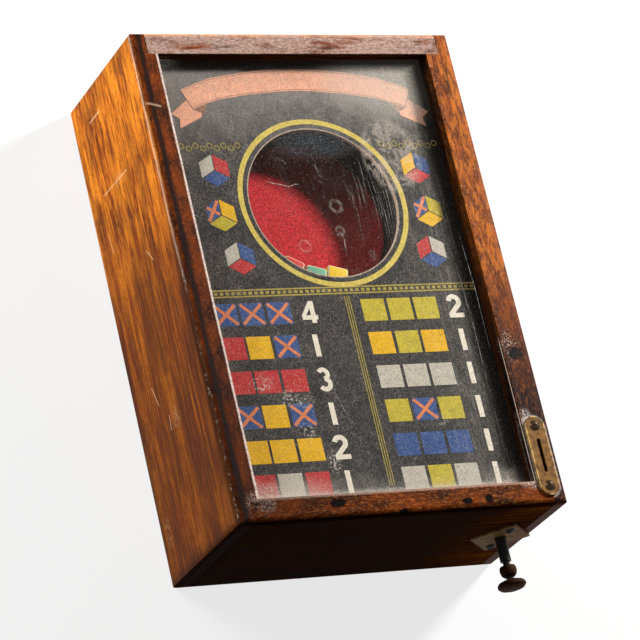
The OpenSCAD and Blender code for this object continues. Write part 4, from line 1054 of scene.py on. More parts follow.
def card_finish(look):
    """Black pasteboard, greyed by dust, with a pale cut edge round the window and painted shadows under the strip and
    beside the right rail.
    """
    f = Finish("Black pasteboard")
    fibre = f.clouds(0.5, 3, 0.7, (1, 1.6, 1), seed=1)
    mottle = f.clouds(11, 5, 0.65, (1, 1.3, 1), warp=0.5, seed=5)
    haze = f.ease(f.y + (mottle - 0.5) * 60, 60, 140)
    f.colour = f.mix(f.ease(mottle, 0.35, 0.7) * 0.5, look.ground, ink("4a4643"))
    f.lay(haze * 0.7, "99938f")
    f.tone(0.45 + fibre * 1.1)
    weave = f.spots(0.44, 0.68, 0.65, 4, 0.8, (1, 1.6, 1), seed=9)
    rubbed = f.spots(0.40, 0.62, 14, 5, 0.7, (1, 1.4, 1), warp=0.5, seed=17)
    f.lay(weave * (0.20 + rubbed * 0.22 + haze * 0.30), "bab3ac")
    # The cut edge, and the paper worn to the pulp beside it
    rag = (f.clouds(2.2, 3, 0.7, warp=0.2, seed=14) - 0.5) * 1.6
    cut = f.ease(f.away(WINDOW) + rag, WINDOW_R + 0.9, WINDOW_R + 0.35)
    pulp = f.mix(f.clouds(1.4, 3, 0.6), look.pulp, dim(look.pulp, 0.55))
    f.lay(cut, pulp)
    sides = 1 - f.facing(abs(f.nz))
    f.lay(sides, pulp)
    # Painted shadows of the strip and of the right rail on the card
    strip_shadow = f.ease(f.y + (mottle - 0.5) * 5, 126.5, 130.0)
    rail_shadow = f.ease(f.x + (mottle - 0.5) * 8, 71.0, 77.0)
    f.tone(1 - f.most(strip_shadow, rail_shadow) * 0.94)
    return f.coat(0.85, fibre, 0.05, shine=0.04)


def ink_finish(name, colour, look, seed):
    """Printed colour, uneven, with flecks where it has worn through to the black card."""
    f = Finish(name)
    fibre = f.clouds(0.45, 3, 0.7, (1, 1.6, 1), seed=1)
    pool = f.clouds(5, 4, 0.6, warp=0.3, seed=seed)
    flecks = f.spots(0.60, 0.70, 0.55, 3, 0.75, (1, 1.3, 1), seed=seed + 3)
    scuffs = f.spots(0.60, 0.74, 3.4, 4, 0.7, (1, 1.6, 1), warp=0.4, seed=seed + 7)
    f.colour = f.mix(f.ease(pool, 0.3, 0.7) * 0.5, colour, dim(colour, 0.7))
    tooth = f.spots(0.32, 0.68, 0.9, 4, 0.78, (1, 1.4, 1), seed=seed + 9)
    f.tone(0.50 + fibre * 0.5 + tooth * 0.5)
    salt = f.spots(0.54, 0.68, 0.75, 4, 0.8, (1, 1.5, 1), seed=seed + 12)
    dusty = f.ease(f.y + (pool - 0.5) * 40, 85, 125)
    f.lay(salt * (0.42 + dusty * 0.35), "e8e2d2")
    f.lay(dusty * 0.16, "b8aaa4")
    worn = f.most(flecks * 0.6, scuffs * f.ease(fibre, 0.38, 0.6) * 0.75)
    f.lay(worn, look.ground)
    return f.coat(0.7, fibre, 0.04, shine=0.04)


def rectangle(x, y, wide, high):
    return [(x - wide / 2, y - high / 2), (x + wide / 2, y - high / 2), (x + wide / 2, y + high / 2),
            (x - wide / 2, y + high / 2)]


def crossed(corners, width):
    """Two strips along the diagonals of a four-sided outline, the second in two halves."""
    a, b, c, d = [Vector(p) for p in corners]
    middle = (a + b + c + d) / 4
    draw_in = 0.12
    a, b, c, d = [p + (middle - p) * draw_in for p in (a, b, c, d)]
    strips = [(a, c)]
    step = width / 2 / (b - middle).length
    strips += [(b, middle + (b - middle) * step), (middle + (d - middle) * step, d)]
    return [band([tuple(p), tuple(q)], width)[0] for p, q in strips]


def figure(sign, x, y):
    """Outlines of a heavy plain numeral, 13 mm high, centred on a point."""
    if sign == "1":
        return [rectangle(x, y, 3.2, 13.2)]
    if sign == "2":
        bowl = band(arc((x, y + 3.1), 3.2, 170, -32, 18), 3.0)
        foot = [bowl[-1][3], (x - 0.6, y - 3.8), (x - 4.6, y - 3.8), bowl[-1][2]]
        return bowl + [foot, rectangle(x + 0.1, y - 5.2, 9.4, 2.8)]
    if sign == "3":
        upper = arc((x - 0.4, y + 3.0), 2.75, 150, -88, 16)
        lower = arc((x - 0.4, y - 2.75), 3.1, 88, -150, 18)
        return band(upper, 2.7) + band(lower, 2.8)
    slope = [(x + 0.75, y + 6.6), (x + 0.75, y + 2.4), (x - 2.05, y - 1.85), (x - 4.8, y - 1.85)]
    return [rectangle(x + 2.2, y, 2.9, 13.2), slope, rectangle(x - 2.0, y - 3.2, 5.5, 2.7),
            rectangle(x + 4.3, y - 3.2, 1.3, 2.7)]


INKS = {"R": "red", "Y": "yellow", "B": "blue", "O": "olive", "W": "grey", "X": "blue"}
SHEETS = ("gold", "rules", "olive", "yellow", "red", "blue", "orange", "grey", "cream", "salmon",
          "shadow")
TAIL = [(61.0, 104.5), (67.5, 103.6), (70.5, 109.5), (81.5, 101.0), (77.0, 97.5), (78.0, 91.5),
        (63.5, 98.5)]
FOLD = [(58.5, 107.0), (67.5, 103.4), (61.0, 100.4)]


def print_field(sheets, letter, corners):
    """One coloured field, with a cross if its letter asks for one."""
    sheets[INKS[letter]].append(corners)
    if letter == "X":
        sheets["orange"] += crossed(corners, in_mm(bpy.context.scene.dice_box_card.square) * 0.13)


def print_tables(sheets, wide, high):
    """Rows of squares, each with its number."""
    for rows, columns, number in TABLES:
        for (letters, count), y in zip(rows, ROWS_Y):
            for letter, x in zip(letters, columns):
                print_field(sheets, letter, rectangle(x, y, wide, high))
            sheets["cream"] += figure(count, number, y)


def print_cubes(sheets):
    """Cubes seen on a corner, each with three coloured faces."""
    up, left, right = Vector((0, 1)), Vector((-0.87, -0.5)), Vector((0.87, -0.5))
    for middle, letters in CUBES:
        for letter, (a, b) in zip(letters, ((up, right), (up, left), (left, right))):
            corner = Vector(middle) + (a + b) * 0.35
            shape = (Vector((0, 0)), a, a + b, b)
            print_field(sheets, letter, [tuple(corner + CUBE_SIDE * step) for step in shape])


def print_rules(sheets, ring_in, ring_out):
    """The ring round the window, the band and rules beside the tables, and two chains of rings."""
    middle_line = arc(WINDOW, (ring_in + ring_out) / 2, 0, 360, 120)[:-1]
    sheets["gold"] += band(middle_line, ring_out - ring_in, True)
    rules = sheets["rules"]
    rules += [rectangle(-1.2, y, 168, 0.9) for y in (-8.0, -11.8)]
    rules += [rectangle(x, -70.3, 0.55, 113.5) for x in (-1.4, 0.0, 1.4)]
    rules += [rectangle(-83 + i * 3.48, -9.9, 2.1, 1.7) for i in range(48)]
    for side in (-1, 1):
        for i in range(9):
            spot = (side * (45.5 + i * 4.3), 79.9 + 0.8 * (-1) ** i)
            rules += band(arc(spot, 1.6, 0, 360, 18)[:-1], 0.5, True)


def print_ribbon(sheets):
    """A bare ribbon, whose ends are folded back under it and end in a notch."""
    salmon, shadow = sheets["salmon"], sheets["shadow"]
    upper, lower = [[(-x, y) for x, y in half[:0:-1]] + half for half in (RIBBON_TOP, RIBBON_LOW)]
    salmon += [list(shape) for shape in zip(lower, lower[1:], upper[1:], upper)]
    hem = [(61.8, 99.2)] + TAIL[5:2:-1] + [(70.5, 109.5)]
    for side in (-1, 1):
        salmon.append([(side * x, y) for x, y in TAIL])
        shadow.append([(side * x, y) for x, y in FOLD])
        shadow += band([(side * x, y) for x, y in hem], 0.35)
        shadow += band([(side * x, y) for x, y in (RIBBON_LOW[-1], RIBBON_TOP[-1])], 0.4)
    for line, shift in ((upper, -0.9), (lower, 0.9)):
        shadow += band([(x, y + shift) for x, y in line], 0.3)


class DICEBOX_OT_card(bpy.types.Operator):
    """Gives the card its black face and prints the ring, tables and ribbon on it"""
    bl_idname = "dicebox.card"
    bl_label = "Award Card"

    def execute(self, context):
        look = context.scene.dice_box_card
        dress(card_finish(look), "award_card")
        sheets = {name: [] for name in SHEETS}
        print_tables(sheets, in_mm(look.square), in_mm(look.square_high))
        print_cubes(sheets)
        print_rules(sheets, in_mm(look.ring_in), in_mm(look.ring_out))
        print_ribbon(sheets)
        mixed = {"rules": dim(look.gold, 0.62), "shadow": dim(look.salmon, 0.35)}
        for number, (name, outlines) in enumerate(sheets.items()):
            lift = in_mm(look.print_lift) * (2 if name in ("orange", "shadow") else 1)
            colour = mixed[name] if name in mixed else getattr(look, name)
            piece("print_" + name, flat_mesh("print_" + name, outlines, CARD_TOP + lift),
                  ink_finish("Print " + name, colour, look, 10.0 + number * 7), "cabinet", "card")
        return {"FINISHED"}


# Felt and dice

def felt_finish(look):
    f = Finish("Wool felt")
    fibres = f.clouds(0.8, 5, 0.8, warp=0.6, seed=1)
    lumps = f.clouds(3.5, 3, 0.6, warp=0.5, seed=4)
    fluff = f.spots(0.32, 0.68, 1.3, 5, 0.8, warp=0.4, seed=6)
    patch = f.clouds(20, 3, 0.6, warp=0.5, seed=8)
    f.colour = f.mix(f.ease(fibres, 0.36, 0.58), look.deep, look.red)
    f.lay(f.ease(patch, 0.4, 0.7) * 0.3, dim(look.red, 0.75))
    f.tone(0.68 + fluff * 0.62)
    lint = f.spots(0.69, 0.74, 0.5, 2, 0.6, warp=0.6, seed=12)
    f.lay(lint * 0.5, "d8a49c")
    return f.coat(0.95, fibres * 0.7 + lumps * 0.3, 0.35, shine=0.1, Sheen_Weight=0.08,
                  Sheen_Roughness=0.5)


FELT_RINGS, FELT_AROUND = 64, 180
FELT_EDGE, FELT_DROOP = 0.0012, 0.0006  # metres: how wide the edge rounds over, and how far down
WAVES, FUZZ = 160, 900  # unevenness of the nap, to a metre


def felt_mesh(name, low, high, nap):
    """A disc of felt in a box, whose upper face is uneven by the nap."""
    middle, radius = (low + high) / 2, (high.x - low.x) / 2
    turns = [2 * math.pi * a / FELT_AROUND for a in range(FELT_AROUND)]
    points = [(middle.x, middle.y, high.z - nap * 0.5)]
    for r in range(1, FELT_RINGS + 1):
        reach = radius * r / FELT_RINGS
        droop = FELT_DROOP * max(0.0, (reach - radius + FELT_EDGE) / FELT_EDGE) ** 2
        for turn in turns:
            x, y = middle.x + reach * math.cos(turn), middle.y + reach * math.sin(turn)
            waves = noise.noise(Vector((x, y, 0.0)) * WAVES)
            fuzz = noise.noise(Vector((x, y, 7.0)) * FUZZ)
            sunk = (0.5 + 0.5 * waves) * 0.6 + (0.5 + 0.5 * fuzz) * 0.4
            points.append((x, y, high.z - nap * sunk - droop))
    points += [(middle.x + radius * math.cos(turn), middle.y + radius * math.sin(turn), low.z)
               for turn in turns]
    points.append((middle.x, middle.y, low.z))
    faces = [(0, 1 + a, 1 + (a + 1) % FELT_AROUND) for a in range(FELT_AROUND)]
    for first in range(1, 1 + FELT_RINGS * FELT_AROUND, FELT_AROUND):
        second = first + FELT_AROUND
        for a in range(FELT_AROUND):
            b = (a + 1) % FELT_AROUND
            faces.append((first + a, second + a, second + b, first + b))
    top = 1 + FELT_RINGS * FELT_AROUND
    faces += [(top + (a + 1) % FELT_AROUND, top + a, len(points) - 1) for a in range(FELT_AROUND)]
    mesh = bpy.data.meshes.new(name)
    mesh.from_pydata(points, [], faces)
    return mesh


class DICEBOX_OT_felt(bpy.types.Operator):
    """Lays a disc of napped felt on the turntable"""
    bl_idname = "dicebox.felt"
    bl_label = "Felt"

    def execute(self, context):
        look = context.scene.dice_box_felt
        mesh = felt_mesh("felt_disc", *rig.box("felt_pad"), look.nap)
        disc = piece("felt_disc", mesh, felt_finish(look), "spinner", "felt", smooth=True)
        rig.replaces(disc, "felt_pad")
        return {"FINISHED"}


DIE_SIDE = 12.7
DIE_TURNS = {"red": -28, "green": -16, "yellow": -16}


def die_body_finish(look):
    f = Finish("Cream of the dice")
    cloud = f.clouds(3, 3, 0.6)
    f.colour = f.mix(f.ease(cloud, 0.35, 0.7) * 0.5, look.body, dim(look.body, 0.72))
    grime = f.spots(0.58, 0.7, 0.8, 3, 0.7, seed=5)
    f.lay(grime * 0.35, "6b5638")
    return f.coat(0.26 + cloud * 0.1, cloud, 0.03, shine=0.2)


def die_face_finish(name, colour):
    f = Finish(name)
    cloud = f.clouds(2.4, 4, 0.65, seed=3)
    worn = f.spots(0.63, 0.70, 0.8, 4, 0.7, seed=7)
    f.colour = f.mix(f.ease(cloud, 0.35, 0.7) * 0.5, colour, dim(colour, 0.75))
    f.lay(worn * 0.4, "d8cdb0")
    return f.coat(0.35, cloud, 0.03, shine=0.12)


def die_mesh(name, side, rounding, rim):
    """A cube with round edges. The paint of a face runs over the rounding as far as the pale rim."""
    work = bmesh.new()
    bmesh.ops.create_cube(work, size=side)
    bmesh.ops.bevel(work, geom=work.edges[:], offset=rounding, segments=10, profile=0.5,
                    affect="EDGES", clamp_overlap=True)
    painted = math.cos(math.pi / 4 - rim / rounding / 2)
    work.normal_update()
    for face in work.faces:
        face.smooth = True
        face.material_index = int(max(abs(part) for part in face.normal) > painted)
    mesh = bpy.data.meshes.new(name)
    work.to_mesh(mesh)
    work.free()
    return mesh


class DICEBOX_OT_dice(bpy.types.Operator):
    """Puts three cream dice with coloured faces on the felt"""
    bl_idname = "dicebox.dice"
    bl_label = "Dice"

    def execute(self, context):
        look = context.scene.dice_box_dice
        cream = die_body_finish(look)
        for name, turn in DIE_TURNS.items():
            node = "die_" + name
            mesh = die_mesh("painted_die_" + name, mm(DIE_SIDE), look.rounding, look.rim)
            turned = Matrix.Rotation(math.radians(turn), 4, "Z")
            mesh.transform(Matrix.Translation(node_middle(node)) @ turned)
            made = piece("painted_die_" + name, mesh, cream, name + "_die", node)
            paint = die_face_finish("Paint of the " + name + " die", getattr(look, name))
            mesh.materials.append(paint)
            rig.replaces(made, node)
        return {"FINISHED"}


# Metal

def aged_brass(name, colour, look, seed, brush=(1, 6, 1), box=None, gloss=0.38, metallic=0.75,
               shine=0.5):
    """Brass with tarnish in the low places, fine rubbing along one axis and bright worn edges that are partly a painted
    highlight.
    """
    f = Finish(name)
    rub = f.clouds(0.4, 3, 0.65, brush, seed=seed)
    stain = f.clouds(4.5, 5, 0.65, warp=0.5, seed=seed + 3)
    spots = f.spots(0.58, 0.68, 0.8, 3, 0.7, warp=0.2, seed=seed + 6)
    f.colour = f.mix(f.ease(stain, 0.38, 0.68) * 0.8, colour, look.tarnish)
    f.tone(0.75 + rub * 0.5)
    f.lay(spots * 0.6, dim(look.tarnish, 0.5))
    rough = gloss + stain * 0.25 + spots * 0.2
    if box:
        # Bright worn edges, partly a painted highlight
        edge = f.edge_distance(*box)
        bright = f.ease(edge + (stain - 0.5) * 1.6, 0.7, 0.15)
        f.lay(bright * 0.6, "d6b070")
        rough = rough - bright * 0.1
    return f.coat(rough, rub * 0.8 + spots * 0.2, 0.02, metallic, shine=shine)


def plain_steel(name, look, seed, rust, brush):
    """Mill-finished steel with fine drawing lines and patches of rust."""
    f = Finish(name)
    rub = f.clouds(0.35, 3, 0.65, brush, seed=seed)
    stain = f.clouds(6, 5, 0.65, warp=0.4, seed=seed + 2)
    red = f.ease(stain, 0.52, 0.70) * f.spots(0.42, 0.62, 0.9, 4, 0.7, seed=seed + 5)
    f.colour = f.shade(look.steel, 0.72 + rub * 0.56)
    f.lay(red * rust * 2, look.rust)
    return f.coat(0.36 + stain * 0.2 + red * 0.3, rub * 0.6 + red * 0.4, 0.05, 0.85 * (1 - red * rust))


def black_paint(name, look, seed, dust=0.5):
    """Black japanned tin with pale specks of dust."""
    f = Finish(name)
    sag = f.clouds(8, 3, 0.5, (1, 1, 2), warp=0.3, seed=seed)
    specks = f.spots(0.665, 0.71, 0.75, 2, 0.6, seed=seed + 3)
    scrape = f.spots(0.60, 0.70, 1.4, 4, 0.7, (1, 1, 4), warp=0.3, seed=seed + 6)
    f.colour = f.mix(f.ease(sag, 0.4, 0.7) * 0.5, look.black, dim(look.black, 2.2))
    f.lay(specks * dust, "b8b2a6")
    f.lay(scrape * dust * 0.4, "6b6459")
    return f.coat(0.45 + sag * 0.15 + specks * 0.3, sag, 0.08, shine=0.15)


class DICEBOX_OT_brass(bpy.types.Operator):
    """Ages the coin plate, the plunger's guard and the brass of the works"""
    bl_idname = "dicebox.brass"
    bl_label = "Brass Plates"

    def execute(self, context):
        look = context.scene.dice_box_metal
        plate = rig.box("coin_plate")
        dress(aged_brass("Coin plate brass", look.brass, look, 2.0, (1, 8, 1), plate, 0.5, 0.3, 0.12),
              "coin_plate")
        pale, browned = dim(look.brass, 1.2), dim(look.brass, 0.2)
        dress(aged_brass("Guard brass", pale, look, 11.0, (5, 1, 1), None, 0.55, 0.35, 0.2),
              "plunger_guard")
        dress(aged_brass("Inner brass", look.brass, look, 23.0), "turntable_hub", "motor_bearings",
              "brushes", "battery_contacts", "coin_pusher", "contact_ring", "switch_leaves")
        dress(aged_brass("Browned screws", browned, look, 31.0, (1, 1, 1), None, 0.26, 0.75, 0.5),
              "coin_plate_screws", "inner_screws", "back_screws")
        dress(black_paint("Blackened screws", look, 4.0, 0.3), "guard_screws")
        soften(mm(0.25), "coin_plate", "plunger_guard")
        return {"FINISHED"}


THREAD_START, THREAD_PITCH = -162.8, 0.8  # the thread runs from this y outwards


class DICEBOX_OT_plunger(bpy.types.Operator):
    """Blackens the rod and browns its nut and button"""
    bl_idname = "dicebox.plunger"
    bl_label = "Plunger"

    def execute(self, context):
        look = context.scene.dice_box_metal
        f = Finish("Blackened rod")
        lines = f.clouds(0.4, 3, 0.6, (1, 14, 1), seed=2)
        rubbed = f.spots(0.52, 0.68, 3, 4, 0.6, (1, 3, 1), warp=0.3, seed=7)
        thread = f.ease(f.y, THREAD_START, THREAD_START - 0.6) * f.lines(f.y, THREAD_PITCH / 2)
        f.colour = f.mix(rubbed * 0.3, look.black, ink("5a4c3e"))
        f.tone(0.75 + lines * 0.5 - thread * 0.3)
        dress(f.coat(0.48 + rubbed * 0.1, lines * 0.2 + thread * 0.8, 0.15, 0.3, shine=0.15),
              "plunger_rod")
        dress(aged_brass("Browned button", look.knob, look, 41.0, (1, 1, 1), None, 0.55, 0.1, 0.06),
              "push_button", "stop_nut")
        return {"FINISHED"}


# Works inside

BRUSH_HEIGHT = 16.4
BAND_FROM_MIDDLE = 48  # bands on the jackets of the cells


class DICEBOX_OT_tin(bpy.types.Operator):
    """Blackens the dice cup and the turntable"""
    bl_idname = "dicebox.tin"
    bl_label = "Dice Cup"

    def execute(self, context):
        look = context.scene.dice_box_metal
        dress(black_paint("Japanned tin", look, 1.0, 0.8), "dice_cup")
        dress(black_paint("Japanned turntable", look, 14.0, 0.3), "turntable")
        return {"FINISHED"}


class DICEBOX_OT_works(bpy.types.Operator):
    """Finishes the motor, the coin works, the switch and the cells"""
    bl_idname = "dicebox.works"
    bl_label = "Works"

    def execute(self, context):
        look, small = context.scene.dice_box_metal, context.scene.dice_box_small
        sheet = plain_steel("Sheet steel", look, 3.0, 0.35, (1, 6, 1))
        dress(sheet, "coin_chute", "cash_tray", "battery_holder", "guide_bracket", "upper_end_plate",
              "lower_end_plate")
        drawn = plain_steel("Drawn steel", look, 15.0, 0.12, (1, 1, 8))
        dress(drawn, "motor_shaft", "motor_bolts", "motor_spacers", "strip_pins", "hub_set_screw",
              "pusher_screw", "shelf_screws")
        dress(self.laminated(look), "armature_core", "field_ring")
        dress(self.wound("Armature wire", look.copper, "y"), "armature_winding")
        dress(self.wound("Field wire", dim(look.copper, 0.8), "z"), "field_coils")
        dress(self.segments(look), "commutator")
        dress(self.fibre(small), "commutator_core", "brush_blocks", "contact_bush", "switch_block")
        dress(self.jacket(small), "dry_cells")
        dress(self.leather(small), "buffer_washer")
        return {"FINISHED"}

    def laminated(self, look):
        """Iron sheets in a stack, with a line at each joint."""
        f = Finish("Laminated iron")
        sheet = f.lines(f.z, 0.25)
        stain = f.clouds(3, 4, 0.6, seed=4)
        side = 1 - f.facing(abs(f.nz))
        f.colour = f.shade(look.iron, (0.7 + stain * 0.5) - side * f.ease(sheet, 0.7, 0.95) * 0.35)
        f.lay(f.ease(stain, 0.58, 0.72) * 0.6, look.rust)
        return f.coat(0.55, 1 - sheet * side, 0.06, 0.7)

    def wound(self, name, colour, axis):
        """Close turns of enamelled wire, 0.6 mm thick, painted darker between the turns as shade."""
        f = Finish(name)
        turns = f.lines(getattr(f, axis), 0.3)
        cloud = f.clouds(4, 3, 0.6, seed=6)
        # Painted shade between the turns
        f.colour = f.shade(colour, 0.45 + turns * 0.5 + cloud * 0.3)
        return f.coat(0.35 + cloud * 0.1, turns, 0.25, 0.5)

    def segments(self, look):
        """Copper segments, dark where the brushes run."""
        f = Finish("Commutator copper")
        track = f.ease(abs(f.z - BRUSH_HEIGHT), 1.8, 1.2)
        lines = f.clouds(0.3, 2, 0.6, (8, 8, 1), seed=3)
        f.colour = f.shade(look.copper, 0.8 + lines * 0.5)
        f.lay(track * 0.6, "2e1c12")
        return f.coat(0.32 + track * 0.15, lines, 0.04, 0.9)

    def fibre(self, small):
        f = Finish("Vulcanised fibre")
        speck = f.clouds(0.7, 4, 0.7, seed=2)
        cloud = f.clouds(5, 3, 0.6, seed=5)
        f.colour = f.shade(small.fibre, 0.6 + speck * 0.45 + cloud * 0.3)
        return f.coat(0.5 + speck * 0.1, speck, 0.04)

    def jacket(self, small):
        """Card jackets with plain bands and no lettering, and zinc at the ends."""
        f = Finish("Cell jacket")
        fibre = f.clouds(0.5, 3, 0.6, (3, 1, 3), seed=4)
        scuff = f.spots(0.56, 0.68, 2.6, 4, 0.7, seed=9)
        away = abs(f.y - in_mm(node_middle("dry_cells").y))
        stripe = f.ease(abs(away - BAND_FROM_MIDDLE), 2.2, 1.8)
        f.colour = f.mix(stripe, small.jacket, small.jacket_band)
        f.tone(0.75 + fibre * 0.5)
        f.lay(scuff * 0.6, "a08a70")
        ends = f.facing(abs(f.ny), 0.5)
        f.lay(ends, "8d8d88")
        return f.coat(0.6 - ends * 0.2, fibre - scuff, 0.06, ends * 0.7)

    def leather(self, small):
        f = Finish("Leather washer")
        pores = f.cells(0.6)
        cloud = f.clouds(3, 4, 0.6, seed=3)
        f.colour = f.shade(small.leather, 0.6 + pores * 0.4 + cloud * 0.4)
        return f.coat(0.7, pores, 0.12)


SPRING = {"x": 79.9, "z": 51.2, "start": -127.5, "turns": 14, "length": 56.0, "wire": 0.9,
          "radius": 3.975}
SPRING_GAP = 0.1  # to the seats at both ends
PLUNGER_STROKE = 16.5


class DICEBOX_OT_spring(bpy.types.Operator):
    """Winds the return spring from round wire; it shortens as the plunger goes in"""
    bl_idname = "dicebox.spring"
    bl_label = "Return Spring"

    def execute(self, context):
        s = SPRING
        per_turn, sweep = 24, s["radius"] * 2 * math.pi * s["turns"]
        steps = s["turns"] * per_turn
        rise = s["length"] - s["wire"] - 2 * SPRING_GAP
        rings = []
        for i in range(steps + 1):
            angle = 2 * math.pi * i / per_turn
            out = Vector((math.cos(angle), 0.0, math.sin(angle)))
            along = Vector((-math.sin(angle) * sweep, rise, math.cos(angle) * sweep)).normalized()
            start = s["start"] + SPRING_GAP + s["wire"] / 2
            middle = Vector((s["x"], start + rise * i / steps, s["z"])) + out * s["radius"]
            rings.append(ring_points(middle, out, along.cross(out), s["wire"] / 2, 12))
        mesh = tube_mesh("wound_spring", rings)
        look = context.scene.dice_box_metal
        finish = plain_steel("Spring steel", look, 27.0, 0.2, (2, 2, 2))
        made = piece("wound_spring", mesh, finish, "cabinet", "steel", smooth=True)
        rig.replaces(made, "return_spring")
        end = s["start"] + s["length"]
        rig.squash(made, "plunger_slide", axis=(0, 1, 0), anchor=mm(s["x"], end, s["z"]),
                  keep=(s["length"] - PLUNGER_STROKE) / s["length"])
        return {"FINISHED"}


# Points in millimetres that the middles of the leads pass through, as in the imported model
LEADS = {
    "lead_cells_to_motor": [
        (-57, 107.3, 12.65), (-57, 111.3, 12.65), (-49, 115.3, 12.65), (-35, 109.3, 14.65),
        (-27, 78.3, 16.35), (-20, 57.05, 16.35), (-14, 53.05, 16.35), (-10, 53.05, 16.35)],
    "lead_motor_to_switch": [
        (10, 35.55, 16.35), (14, 35.55, 16.35), (32, 19.55, 19.35), (47.9, -5.7, 28), (55.9, -22.7, 44),
        (59.9, -26.7, 53.2), (64.9, -27.5, 59.425), (71.9, -27.5, 59.425)],
    "lead_switch_to_cells": [
        (71.9, -27.5, 42.975), (66.9, -27.5, 42.975), (49.9, -39.7, 36.2), (0, -43.7, 28.2),
        (-43, -30.7, 16.65), (-57, -23.7, 12.65), (-57, -18.7, 12.65)],
}


def eased_line(route, steps):
    """More points on a smooth curve through a route, whose first and last legs stay straight."""
    spots = [Vector(point) for point in route]
    line = [spots[0]]
    for before, start, stop, after in zip(spots, spots[1:], spots[2:], spots[3:]):
        for i in range(steps):
            t = i / steps
            square = (2 * before - 5 * start + 4 * stop - after) * t ** 2
            cube = (3 * start - before - 3 * stop + after) * t ** 3
            line.append(0.5 * (2 * start + (stop - before) * t + square + cube))
    return line + spots[-2:]


def wire_mesh(name, line, radius, sides):
    """A round wire along a line of points in millimetres."""
    rings, side = [], Vector((0.1, 0.2, 1.0))
    for i, spot in enumerate(line):
        along = (line[min(i + 1, len(line) - 1)] - line[max(i - 1, 0)]).normalized()
        side = (side - along * side.dot(along)).normalized()
        rings.append(ring_points(spot, side, along.cross(side), radius, sides))
    return tube_mesh(name, rings)


class DICEBOX_OT_leads(bpy.types.Operator):
    """Runs three cotton-covered leads between the cells, the motor and the switch"""
    bl_idname = "dicebox.leads"
    bl_label = "Leads"

    def execute(self, context):
        small = context.scene.dice_box_small
        finish = self.cotton(small)
        for name, route in LEADS.items():
            line = eased_line(route, 8)
            mesh = wire_mesh(name, line, in_mm(small.lead) / 2, 16)
            made = piece(name, mesh, finish, "cabinet", "cloth_lead", smooth=True)
            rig.replaces(made, "leads")
            path = [mm(*spot) for spot in line]
            length = sum(math.dist(a, b) for a, b in zip(path, path[1:]))
            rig.cord(made, exit=path[0], length=length, diameter=small.lead, far_end="object",
                    stiffness="medium", lay="loose", path=path)
        return {"FINISHED"}

    def cotton(self, small):
        """A spiral of cotton thread round the wire, painted darker between the turns as shade."""
        f = Finish("Cotton covered wire")
        twist = f.lines(f.x + f.y * 0.8 + f.z * 0.6, 0.35)
        dirt = f.clouds(6, 4, 0.6, seed=3)
        # Painted shade between the turns of thread
        f.colour = f.shade(small.cotton, 0.45 + twist * 0.4 + dirt * 0.3)
        return f.coat(0.9, twist, 0.2)


# Stage

CAMERA_PLACE = (-0.89448, -0.70832, 1.64742)
CAMERA_TURNS = (27.01947, -23.77628, -13.76756)  # degrees
AIM = Vector((0.0, 0.0, 0.06))
MAIN_LIGHT_FROM = Vector((0.728, 0.420, 0.545)) * 1.5
SIDE_LIGHT_FROM = Vector((-1.0, 0.62, 0.24))
MAIN_LIGHT_WIDTH, SIDE_LIGHT_WIDTH = 0.26, 0.6
WHITE = (1.0, 1.0, 1.0)
FLOOR_SIDE = 12000  # millimetres
FLOOR_GLOW = 0.78


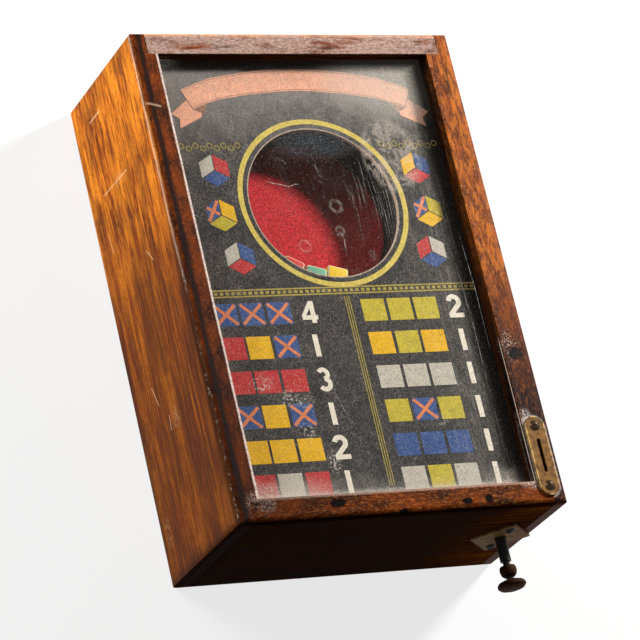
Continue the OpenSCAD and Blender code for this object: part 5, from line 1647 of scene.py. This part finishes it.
class DICEBOX_OT_stage(bpy.types.Operator):
    """Sets the camera, the soft lights and the pale floor"""
    bl_idname = "dicebox.stage"
    bl_label = "Stage"

    def execute(self, context):
        look, scene = context.scene.dice_box_stage, context.scene
        camera_data = bpy.data.cameras.new("camera")
        camera_data.lens, camera_data.sensor_width = look.lens, 36.0
        camera_data.clip_start, camera_data.clip_end = 0.05, 20.0
        camera = bpy.data.objects.new("camera", camera_data)
        camera.location = CAMERA_PLACE
        camera.rotation_euler = [math.radians(turn) for turn in CAMERA_TURNS]
        scene.collection.objects.link(camera)
        scene.camera = camera
        self.lamp("main_light", MAIN_LIGHT_FROM, look.key, MAIN_LIGHT_WIDTH)
        self.lamp("side_light", SIDE_LIGHT_FROM, look.side, SIDE_LIGHT_WIDTH)
        self.floor(look)
        self.surroundings(look)
        scene.view_settings.view_transform = "Standard"
        return {"FINISHED"}

    def lamp(self, name, way, power, size):
        """A round soft light that stands off from the box by a way and looks back at it."""
        data = bpy.data.lights.new(name, "AREA")
        data.energy, data.shape, data.size = power, "DISK", size
        made = bpy.data.objects.new(name, data)
        made.location = AIM + way
        made.rotation_euler = (-way).to_track_quat("-Z", "Y").to_euler()
        bpy.context.scene.collection.objects.link(made)

    def seen(self, f):
        """1 for what the camera, a mirror or glass sees directly, 0 for light that bounces."""
        ray = f.node("ShaderNodeLightPath")
        return f.most(ray["Is Camera Ray"], ray["Is Glossy Ray"], ray["Is Transmission Ray"])

    def floor(self, look):
        """A pale floor that looks nearly white but throws little light back."""
        f = Finish("Pale floor")
        mottle = f.clouds(120, 2, 0.5)
        grey = f.shade((look.floor,) * 3, 0.97 + mottle * 0.06)
        plain = f.surface(grey, 0.9, Specular_IOR_Level=0.0)
        glow = f.node("ShaderNodeEmission", None, {"Color": WHITE, "Strength": FLOOR_GLOW})
        bright = f.node("ShaderNodeAddShader", None, {0: plain, 1: glow})
        material = f.done(f.node("ShaderNodeMixShader", None, {0: self.seen(f), 1: plain, 2: bright}))
        mesh = flat_mesh("floor", [rectangle(0, 0, FLOOR_SIDE, FLOOR_SIDE)], 0)
        mesh.materials.append(material)
        made = bpy.data.objects.new("floor", mesh)
        bpy.context.scene.collection.objects.link(made)
        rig.stage(made)

    def surroundings(self, look):
        """White where it is seen, and dim as a light."""
        f = Finish("Surroundings", surroundings=True)
        dull = f.node("ShaderNodeBackground", None, {"Color": WHITE, "Strength": look.sky})
        bright = f.node("ShaderNodeBackground", None, {"Color": WHITE, "Strength": 1.0})
        bpy.context.scene.world = f.done(
            f.node("ShaderNodeMixShader", None, {0: self.seen(f), 1: dull, 2: bright}))


SETTINGS = {"dice_box_boards": BoardSettings, "dice_box_glass": GlassSettings,
            "dice_box_card": CardSettings, "dice_box_felt": FeltSettings,
            "dice_box_dice": DiceSettings, "dice_box_metal": MetalSettings,
            "dice_box_small": SmallSettings, "dice_box_stage": StageSettings}
OPERATORS = [DICEBOX_OT_stage, DICEBOX_OT_boards, DICEBOX_OT_inner_wood, DICEBOX_OT_glass,
             DICEBOX_OT_card, DICEBOX_OT_felt, DICEBOX_OT_dice, DICEBOX_OT_brass,
             DICEBOX_OT_plunger, DICEBOX_OT_tin, DICEBOX_OT_works, DICEBOX_OT_spring,
             DICEBOX_OT_leads]


class DICEBOX_PT_panel(bpy.types.Panel):
    """Lists the pieces of the dice box and their settings"""
    bl_idname = "DICEBOX_PT_panel"
    bl_label = "Dice Box"
    bl_space_type = "VIEW_3D"
    bl_region_type = "UI"
    bl_category = "Dice Box"

    def draw(self, context):
        for kind in OPERATORS:
            self.layout.operator(kind.bl_idname)
        for name, kind in SETTINGS.items():
            box = self.layout.box()
            box.label(text=kind.__name__)
            for setting in kind.__annotations__:
                box.prop(getattr(context.scene, name), setting)


def register():
    for kind in (*SETTINGS.values(), *OPERATORS, DICEBOX_PT_panel):
        bpy.utils.register_class(kind)
    for name, kind in SETTINGS.items():
        setattr(bpy.types.Scene, name, PointerProperty(type=kind))


def unregister():
    for name in SETTINGS:
        delattr(bpy.types.Scene, name)
    for kind in (DICEBOX_PT_panel, *reversed(OPERATORS), *reversed(SETTINGS.values())):
        bpy.utils.unregister_class(kind)


def main():
    register()
    for kind in OPERATORS:
        group, name = kind.bl_idname.split(".")
        getattr(getattr(bpy.ops, group), name)()
    with open("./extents.json", "w") as out:
        json.dump({"cad": CAD_BOX, "visual": [list(corner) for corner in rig.bounds()]}, out)


if __name__ == "__main__":
    main()
